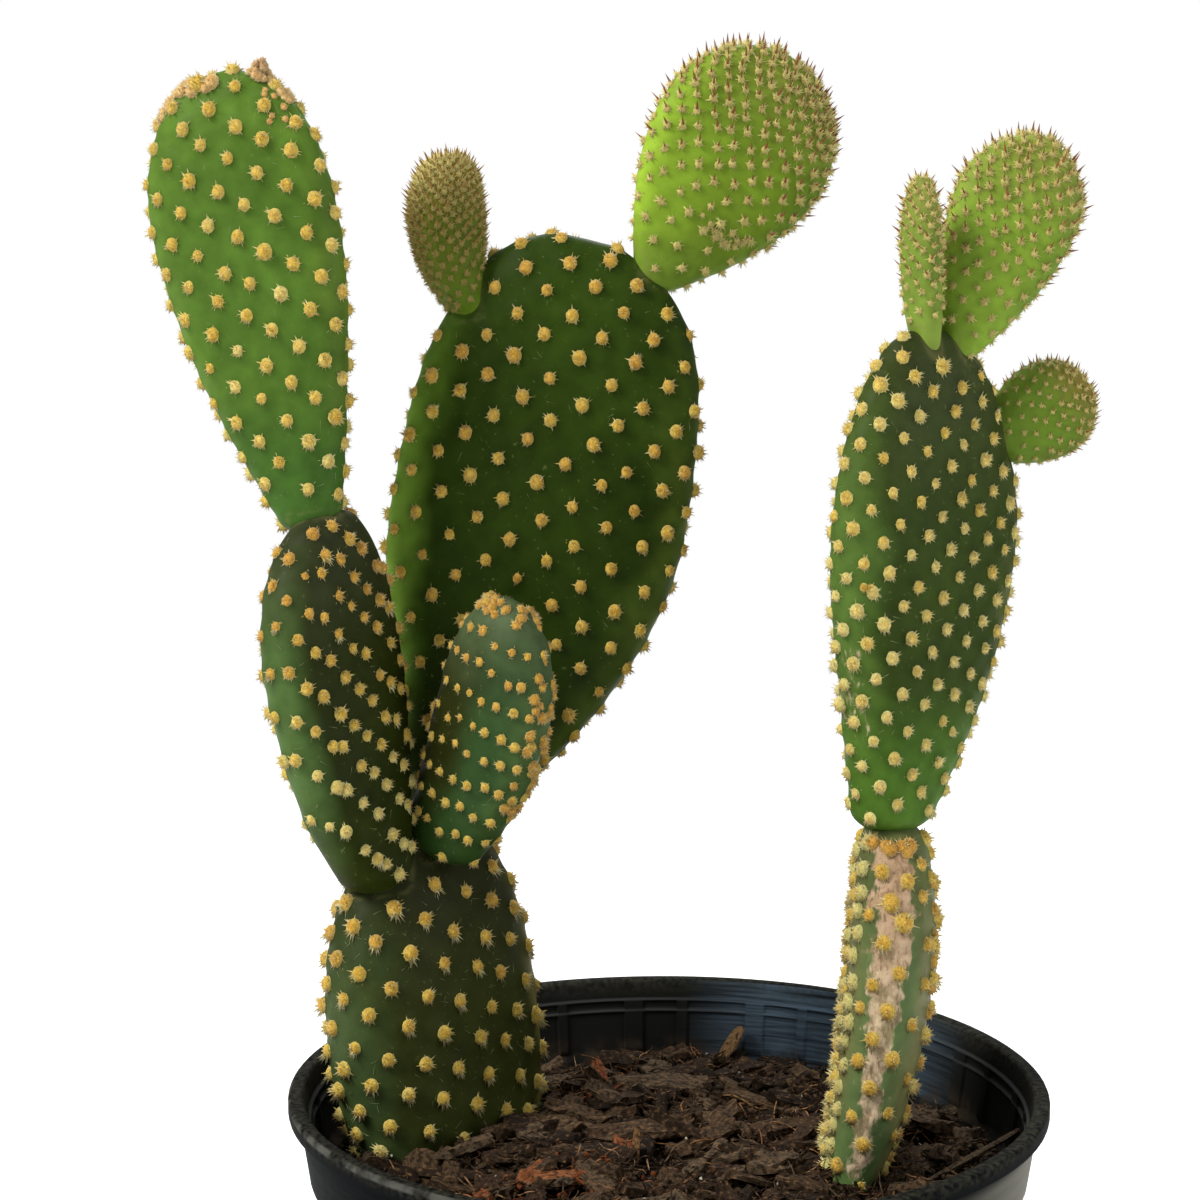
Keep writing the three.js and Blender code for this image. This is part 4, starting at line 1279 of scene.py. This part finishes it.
def buildPot():
    work = potWork
    profile = potProfile()
    heights = profile[:, 1]
    top = int(np.argmax(heights))
    inner = (np.arange(len(profile)) > top) & (heights > ledgeHeight + 0.3)
    inner &= heights < work["ridges"][0] + 0.6
    angles, raised = potRelief(profile, inner)
    radius = profile[:, :1] - raised
    # A thin moulded wall is never quite round.
    wobble = 0.12 * np.sin(3 * angles + 0.6) + 0.1 * np.sin(5 * angles + 2)
    wobble += work["outOfRound"] * bell(angles - 0.85, 0.5)
    radius = radius + wobble * eased(profile[:, 1:], 20, 115) * (radius > 50)
    x, y = radius * np.cos(angles), radius * np.sin(angles)
    rows, columns = x.shape
    points = np.stack([x, y, profile[:, 1:] + 0 * x], -1).reshape(-1, 3)
    points = np.concatenate([points, [[0, 0, 0], [0, 0, floorTop]]])
    under = rows * columns
    faces = ringFaces(rows, columns) + capFaces(under, 0, columns, True)
    faces += capFaces(under + 1, (rows - 1) * columns, columns)

    def eachPoint(values):  # a value for each ring, and 0 in the two middles
        return np.concatenate([np.repeat(values, columns), [0.0, 0.0]])

    facts = {
        "lip": eachPoint(eased(heights, work["height"] - 2.2, work["height"] - 0.3)),
        # line: where a painted highlight runs along each inner ridge
        "line": eachPoint(sum(bell(heights - ridge - 0.25, 0.28) for ridge in work["ridges"]) * inner),
        "inside": eachPoint(np.arange(rows) > top + 3),
    }
    made = objectFrom("pot_shell", points, faces, facts, potMaterial(), 40)
    drill = drainDrill()
    cut = made.modifiers.new("drain holes", "BOOLEAN")
    cut.object, cut.operation, cut.solver = drill, "DIFFERENCE", "EXACT"
    drilled = bakedMesh(made)
    made.modifiers.remove(cut)
    made.data = drilled
    bpy.data.objects.remove(drill)
    return made


# Black moulded plastic: a satin skin with fine scuffs round it, dust on its lip and dried mud low inside,
# with a painted sheen inside at the back right, a painted reflection below the rim on the right, and painted
# highlights along the inner ridges and on the rim's left edge.
def potMaterial():
    material, tree, shader, place = freshMaterial("scuffed black plastic")
    x, y, z = partsOf(tree, place)
    inside, lip, line = (attributeOf(tree, fact) for fact in ("inside", "lip", "line"))
    broad, fine = blotches(tree, place, 22, 3), blotches(tree, place, 1.2, 4)
    damp = blotches(tree, place, 5, 4)
    rings = blotches(tree, stretchedPlace(tree, place, 0.05, 0.05, 1.6), 1.1, 4, 0.65)
    out = vectorOf(tree, "LENGTH", packVector(tree, x, y))

    def share(value, low, high, reach=1.0):
        return easedShare(tree, value, low, high, reach)

    # painted sheen: a bluish sheen on the inside wall at the back right
    sheen = times(tree, inside, share(x, 0.004, 0.03), share(y, 0.03, 0.06), share(rings, 0.2, 0.7))
    # film here is a painted reflection: a pale sheen on the right outside below the rim
    frontRight = times(tree, share(x, 0.03, 0.076), share(z, 0.117, 0.113), share(z, -0.04, 0.104),
                       share(y, 0.05, -0.012))
    streaky = plus(tree, share(rings, 0.1, 0.75, 0.35), 0.65)
    film = times(tree, frontRight, frontRight, restOf(tree, inside), streaky)
    dust = times(tree, lip, share(fine, 0.3, 0.7, 0.5))
    # edge is partly wear and partly a painted highlight: a pale rim edge only on the left
    edge = times(tree, share(out, 0.0741, 0.0746), share(z, 0.1186, 0.1192), share(damp, 0.4, 0.65, 0.8),
                 share(x, 0.02, -0.03, 0.4))
    scuffs = times(tree, share(rings, 0.56, 0.74), share(broad, 0.35, 0.7, 0.35))
    mud = times(tree, restOf(tree, share(z, 0.1035, 0.109)), inside, share(damp, 0.4, 0.65, 0.6))
    colour = layered(
        tree, blendColours(tree, broad, (5, 7, 8), (11, 13, 14)),
        (inside, blendColours(tree, broad, (16, 16, 15), (30, 30, 27))),
        # painted highlight along the thin ridges inside
        (times(tree, line, 0.6), (58, 60, 60)),
        (sheen, (104, 124, 142)),
        (film, (124, 121, 110)),  # painted reflection: a pale sheen below the rim on the right
        (scuffs, (24, 25, 27)),
        (dust, (66, 64, 54)),
        (edge, (120, 120, 112)),  # the rim's edge: worn, and a painted highlight on the left
        (mud, (58, 48, 38)),
    )
    rough = plus(tree, times(tree, rings, 0.3), 0.45, times(tree, dust, 0.4))
    height = plus(tree, times(tree, rings, 0.7), times(tree, fine, 0.3))
    feed(tree, shader, colour=colour, roughness=rough, normal=grain(tree, height, 0.12, 0.4), shine=0.015)
    return material


handOver(buildPot(), ["pot"])
print("pot turned and drilled")


# The ground under the chips: a closed plug of mix with an uneven top.
def buildGround():
    rings, columns = 64, 216
    out = barkRadius * np.sqrt(np.linspace(0.0002, 1, rings))
    angles = np.arange(columns) * turnOnce / columns
    x, y = out[:, None] * np.cos(angles), out[:, None] * np.sin(angles)
    flat = np.stack([x, y, 0 * x], -1).reshape(-1, 3)
    rise = barkHeight(flat[:, 0], flat[:, 1]) - 0.6
    clods = swell(flat, 11, 61) * 0.6 + swell(flat, 5, 62) * 0.5 + swell(flat, 2.4, 63) * 0.3
    rise += barkWork["clods"] * clods
    rise = np.minimum(rise, barkEdge + 6)
    top = np.stack([flat[:, 0], flat[:, 1], rise], -1)
    bottom = floorTop + gap
    lowRadius = wallOutside(bottom + 1) - potWork["wall"] - (1 + gap)
    low = np.stack([lowRadius * np.cos(angles), lowRadius * np.sin(angles), np.full(columns, bottom)], -1)
    points = np.concatenate([top, low, [[0, 0, rise[0]], [0, 0, bottom]]])
    middle = (rings + 1) * columns
    faces = ringFaces(rings + 1, columns, flipped=True) + capFaces(middle, 0, columns)
    faces += capFaces(middle + 1, rings * columns, columns, True)
    facts = {"tone": np.full(len(points), 0.12), "grain": points / 10}
    return objectFrom("bark_ground", points, faces, facts, barkBits)


# Bark and wood by tone: near black, browns, weathered grey, rust, then bare pale wood.
woodShades = [
    (0.0, (22, 17, 12)), (0.25, (36, 27, 19)), (0.5, (56, 41, 28)), (0.68, (76, 59, 42)),
    (0.8, (86, 72, 56)), (0.88, (126, 66, 34)), (0.95, (146, 112, 76)), (1.0, (206, 196, 174)),
]


# The grain runs along each chip.
def barkMaterial():
    material, tree, shader, place = freshMaterial("bark and wood bits")
    ramp = addNode(tree, "ShaderNodeValToRGB", {0: attributeOf(tree, "tone")})
    stops = ramp.color_ramp.elements
    for stop, (position, colour) in zip(stops, (woodShades[0], woodShades[-1])):
        stop.position, stop.color = position, paint(colour)
    for position, colour in woodShades[1:-1]:
        stops.new(position).color = paint(colour)
    along = stretchedPlace(tree, attributeOf(tree, "grain", "Vector"), 1.6, 9, 9)
    lines = addNode(tree, "ShaderNodeTexNoise", {"Vector": along, "Scale": 1.6, "Detail": 5}).outputs[0]
    bits = blotches(tree, place, 1.0, 4)
    lined = blendColours(tree, easedShare(tree, lines, 0.42, 0.62), ramp.outputs[0], (24, 18, 15))
    colour = layered(
        tree, ramp.outputs[0],
        (0.6, lined),
        (easedShare(tree, bits, 0.5, 0.64, 0.76), (24, 17, 12)),
        (easedShare(tree, bits, 0.44, 0.3, 0.5), (120, 90, 60)),
    )
    height = plus(tree, lines, times(tree, bits, 0.6))
    feed(tree, shader, colour=colour, normal=grain(tree, height, 0.35, 0.8), roughness=0.92, shine=0.06)
    return material


# A ragged slab of bark, a unit long, wide and thick.
def barkSlab(draw):
    long, wide = 6, 4
    u, v = np.linspace(-0.5, 0.5, long), np.linspace(-0.5, 0.5, wide)
    points = []
    ends = 1 - 0.35 * np.abs(2 * u) ** 3
    for side in (0.5, -0.5):
        for i, along in enumerate(u):
            for across in v:
                thin = 1 - 0.5 * abs(2 * across) ** 2
                points.append((along + draw.normal(0, 0.035), across * ends[i] + draw.normal(0, 0.06),
                               side * thin + draw.normal(0, 0.12)))
    per = long * wide
    faces = []
    for i in range(long - 1):
        for j in range(wide - 1):
            a = i * wide + j
            faces.append([a, a + wide, a + wide + 1, a + 1])
            faces.append([per + a, per + a + 1, per + a + wide + 1, per + a + wide])
        low, high = i * wide, i * wide + wide - 1
        faces.append([low, per + low, per + low + wide, low + wide])
        faces.append([high, high + wide, per + high + wide, per + high])
    for j in range(wide - 1):
        end = (long - 1) * wide + j
        faces.append([j, j + 1, per + j + 1, per + j])
        faces.append([end, per + end, per + end + 1, end + 1])
    points = np.array(points)
    return points, faces, {"grain": points}


# A rough crumb with twenty faces.
def crumb(draw):
    corners, faces = twentyFaces()
    corners = corners * 0.5 * draw.uniform(0.6, 1.2, (12, 1))
    return corners, faces, {"grain": corners}


# A bent strand, a unit long, with three sides.
def strand(draw):
    stations, sides = 6, 3
    turns = np.arange(sides) * turnOnce / sides
    bend, sway = draw.uniform(-0.35, 0.35), draw.uniform(-0.2, 0.2)
    points = []
    for s in np.linspace(-0.5, 0.5, stations):
        y, z = bend * (0.25 - s * s), sway * math.sin(6 * s) * 0.5
        thin = 0.03 * (1 - 0.7 * abs(2 * s) ** 2)
        points += [(s, y + thin * math.cos(a), z + thin * math.sin(a)) for a in turns]
    end = (stations - 1) * sides
    faces = [[0, 2, 1], [end, end + 1, end + 2]] + ringFaces(stations, sides)
    points = np.array(points)
    return points, faces, {"grain": points}


# Lays one of a few shapes at each place, turned and sized by what is stored there.
def scatterTree():
    tree, given, points = startTree("scattered bits", {"bitSize": 1.0})
    turn = addNode(tree, "FunctionNodeEulerToRotation", {0: wayOf(tree, "turn")}).outputs[0]
    scale = scaled(tree, wayOf(tree, "span"), given["Bit Size"])
    return finishTree(tree, given, [shapesOnPoints(tree, points, given, turn, scale)], False)


def scatter(name, makeShape, kinds, bits, seed, smooth=False):
    draw = np.random.default_rng(seed)
    shapes = shapeSet(name, kinds, makeShape, draw, smooth)
    places, facts = bits
    facts["shape"] = draw.integers(0, kinds, len(places))
    source = objectFrom(name + "_places", places, [], facts)
    made = grow(source, name, bitsTree, {"Shapes": shapes, "Bit Size": mm}, barkBits)
    dropFacts(made.data, ("turn", "span", "shape"))
    dropShapes(shapes)
    handOver(made, ["bark_mix"])


# Seeded places on the mix, clear of the stems and of the pot's wall, with a turn, a size and a tone each.
def strewn(work, seed, toneOf):
    draw = np.random.default_rng(seed)
    stems = [pad for pad in pads.values() if not pad["parent"]]
    places, turns, spans, tone = [], [], [], []
    while len(places) < work["count"]:
        length = draw.uniform(*work["length"]) * draw.uniform(0.7, 1.0)
        size = np.array([length, draw.uniform(*work["width"]), draw.uniform(*work["thickness"])])
        out = (barkRadius - 0.8) * math.sqrt(draw.random())
        angle = draw.uniform(0, turnOnce)
        spin = draw.uniform(0, turnOnce)
        x, y = out * math.cos(angle), out * math.sin(angle)
        reach = size[0] / 2 * abs(math.cos(spin - angle)) + size[1] / 2 * abs(math.sin(spin - angle))
        if out + reach > barkRadius:
            continue
        z = float(barkHeight(x, y)) + draw.uniform(*work["lift"])
        point = np.array([[x, y, z]])
        if min(float(padDistance(pad, point)[0]) for pad in stems) < work["stemGap"] * size[0]:
            continue
        places.append((x, y, z))
        turns.append((draw.normal(0, work["tilt"]), draw.normal(0, work["tilt"]), spin))
        spans.append(size)
        tone.append(toneOf(draw))
    places, tone = np.array(places), np.array(tone)
    lit = bell(places[:, 0] - 60, 17) * bell(places[:, 1] - 6, 30)  # painted light: paler chips right of the right stem
    tone = np.where(tone < 0.68, np.minimum(tone + 0.8 * lit, 0.8), tone)
    return places, {"turn": np.array(turns), "span": np.array(spans), "tone": tone}


def chipTone(draw):
    kind = draw.random()
    if kind < 0.012:
        return draw.uniform(0.86, 0.9)  # rust
    if kind < 0.3:
        return draw.uniform(0.68, 0.8)  # weathered
    return draw.uniform(0.18, 0.66)


def crumbTone(draw):
    return draw.uniform(0.1, 0.8)


def fibreTone(draw):
    return draw.choice([0.5, 0.66, 0.78, 0.93]) + draw.uniform(-0.03, 0.03)


def flakeTone(draw):
    return 1.0


# Pieces that stand out: x, y, lift, length, width, thickness, pitch, roll, spin in degrees, and tone.
markedChips = [
    (16.3, 63.5, 4.6, 8.5, 5.6, 1.1, -56, 0, 14, 0.95),  # leaning light chip at the back
    (-20, -23, 2.0, 12, 5, 2.0, 6, 4, 10, 0.9),  # rust-red bits at the front left
    (-26, -21, 1.9, 9, 5, 2.2, -8, 6, 60, 0.89),
    (-14, -25, 1.7, 8, 4, 2.0, 10, -6, -30, 0.87),
    (44.5, -24.5, 1.6, 5.5, 3.5, 1.4, 5, -12, 30, 0.89),
    (60.2, -8.1, 3.9, 27, 1.5, 1.0, -8, 0, 41, 0.8),  # stick against the right wall
    (53.8, -7.7, 2.5, 6, 4, 2.5, 40, 10, 60, 0.8),
    (-8.8, 58, 2.6, 9, 7, 4, 4, 6, 10, 0.3),
    (-0.6, 29.7, 2.8, 19, 7.5, 1.8, 3, 10, 12, 0.74),
    (-5.3, 1, 2.6, 20, 7, 2.2, -3, 6, 5, 0.62),
    (20, 22, 2.6, 16, 4.5, 1.8, 8, -8, -35, 0.7),
    (24, 6, 2.6, 17, 5, 1.8, 2, 5, 25, 0.6),
    (-18, 12, 2.6, 13, 5, 1.6, 10, 4, -20, 0.66),
    (5, 44, 2.6, 13, 6, 2.4, -6, -4, 40, 0.42),
    (-6.3, -12, 4.5, 7, 1.4, 0.6, -75, 10, 80, 0.94),  # upright splinter
]
markedStrands = [
    (17, 19, 3.0, 11, 10, 10, 4, 0, -32, 0.95),
    (25, 2.5, 3.0, 12, 8, 8, 0, 3, -40, 0.94),
    (-10.4, 18.6, 2.6, 4.5, 12, 12, 30, 0, 60, 1.0),
    (-11.8, 17.2, 2.4, 3.5, 12, 12, 24, 0, 110, 1.0),
    (-3, -6, 2.9, 13, 6, 6, 5, 0, 8, 0.92),
    (0.5, 27, 2.8, 9, 7, 7, -8, 0, 55, 0.86),
]


def withMarked(bits, marked):
    places, facts = bits
    rows = np.array(marked, float)
    heights = barkHeight(rows[:, 0], rows[:, 1]) + rows[:, 2]
    more = {"turn": np.radians(rows[:, [7, 6, 8]]), "span": rows[:, 3:6], "tone": rows[:, 9]}
    places = np.concatenate([places, np.column_stack([rows[:, :2], heights])])
    return places, {fact: np.concatenate([facts[fact], extra]) for fact, extra in more.items()}


# Ranges in millimetres; stemGap is the room that a bit leaves round the stems, as a share of its length.
chipWork = {
    "count": 500, "length": (6, 19), "width": (2.4, 7.5), "thickness": (0.9, 2.8), "lift": (-0.8, 2.2),
    "tilt": 0.24, "stemGap": 0.12, "kinds": 8,
}
crumbWork = {
    "count": 4400, "length": (0.8, 2.8), "width": (0.6, 1.8), "thickness": (0.5, 1.4), "lift": (-0.2, 2.6),
    "tilt": 0.8, "stemGap": 0.1, "kinds": 6,
    "rustPlace": (-19, -23), "rustReach": (12, 9), "rustShare": 0.95, "rustTone": 0.88,
}
fibreWork = {
    "count": 1100, "length": (3, 12), "width": (5, 8), "thickness": (5, 8), "lift": (0.8, 3.0),
    "tilt": 0.3, "stemGap": 0.1, "kinds": 6,
}
flakeWork = {
    "count": 70, "length": (0.6, 1.3), "width": (0.5, 0.9), "thickness": (0.3, 0.7), "lift": (1.6, 3.0),
    "tilt": 0.8, "stemGap": 0.3, "kinds": 4,
}
bitsTree, barkBits, seed = scatterTree(), barkMaterial(), barkWork["seed"]
handOver(buildGround(), ["bark_mix"])
chips = strewn(chipWork, seed, chipTone)
scatter("bark_chips", barkSlab, chipWork["kinds"], withMarked(chips, markedChips), seed + 1)
crumbs = strewn(crumbWork, seed + 2, crumbTone)
rusty = np.ones(crumbWork["count"])
for axis in (0, 1):
    rusty *= bell(crumbs[0][:, axis] - crumbWork["rustPlace"][axis], crumbWork["rustReach"][axis])
chosen = np.random.default_rng(drawSeeds["rust"]).random(len(rusty)) < rusty * crumbWork["rustShare"]
crumbs[1]["tone"] = np.where(chosen, crumbWork["rustTone"], crumbs[1]["tone"])
scatter("bark_crumbs", crumb, crumbWork["kinds"], crumbs, seed + 3)
fibres = strewn(fibreWork, seed + 4, fibreTone)
scatter("bark_fibres", strand, fibreWork["kinds"], withMarked(fibres, markedStrands), seed + 5, smooth=True)
scatter("pale_flakes", crumb, flakeWork["kinds"], strewn(flakeWork, seed + 6, flakeTone), seed + 7)
print("bark mix laid")


# The stage: a pale floor in a white room, with soft light from the upper left and a little from the right.
stageWork = {
    "floorRadius": 1.1, "room": 0.42,
    "camera": (-0.013307, -0.462413, 0.273723), "cameraPitch": 82.918, "lens": 72, "film": 36,
}


def buildStage():
    rings, columns, sunk = 10, 96, -0.2
    turns = np.arange(columns) * turnOnce / columns
    radii = np.linspace(0.1, 1, rings) * stageWork["floorRadius"] / mm
    points = [(r * math.cos(a), r * math.sin(a), sunk) for r in radii for a in turns] + [(0, 0, sunk)]
    faces = ringFaces(rings, columns, flipped=True) + capFaces(rings * columns, 0, columns)
    material, tree, shader, place = freshMaterial("pale floor")
    colour = blendColours(tree, blotches(tree, place, 400, 2), (250, 250, 250), (254, 254, 254))
    feed(tree, shader, colour=colour, roughness=0.95, shine=0.1)
    objectFrom("pale_floor", points, faces, None, material)


def areaLight(name, place, aim, size, power, colour=(1, 1, 1)):
    data = bpy.data.lights.new(name, "AREA")
    data.shape, data.size, data.energy, data.color = "DISK", size, power, colour
    made = objectOf(name, data)
    made.location = place
    made.rotation_euler = (Vector(aim) - Vector(place)).to_track_quat("-Z", "Y").to_euler()


def lightRoom():
    world = bpy.data.worlds.new("white room")
    scene.world = world
    world.use_nodes = True
    tree = world.node_tree
    seen = addNode(tree, "ShaderNodeBackground", {"Color": (1, 1, 1, 1), "Strength": 1.0}).outputs[0]
    felt = {"Color": (0.95, 0.98, 1, 1), "Strength": stageWork["room"]}
    felt = addNode(tree, "ShaderNodeBackground", felt).outputs[0]
    byCamera = addNode(tree, "ShaderNodeLightPath").outputs["Is Camera Ray"]
    mixed = addNode(tree, "ShaderNodeMixShader", {0: byCamera, 1: felt, 2: seen})
    tree.links.new(mixed.outputs[0], tree.nodes["World Output"].inputs["Surface"])
    areaLight("key", (-0.95, -0.55, 1.15), (0, 0, 0.2), 0.6, 24, (1, 0.99, 0.96))
    areaLight("right fill", (1.2, -0.5, 0.5), (0, 0, 0.2), 0.9, 8, (0.93, 0.97, 1))
    areaLight("from above and behind", (0.1, 0.8, 1.2), (0, 0, 0.15), 0.9, 14)


def setCamera():
    data = bpy.data.cameras.new("portrait")
    data.lens, data.sensor_width, data.clip_start = stageWork["lens"], stageWork["film"], 0.01
    made = objectOf("portrait", data)
    made.location = stageWork["camera"]
    made.rotation_euler = (math.radians(stageWork["cameraPitch"]), 0, 0)
    scene.camera = made


buildStage()
lightRoom()
setCamera()
scene.view_settings.view_transform = "Standard"
print("stage lit")
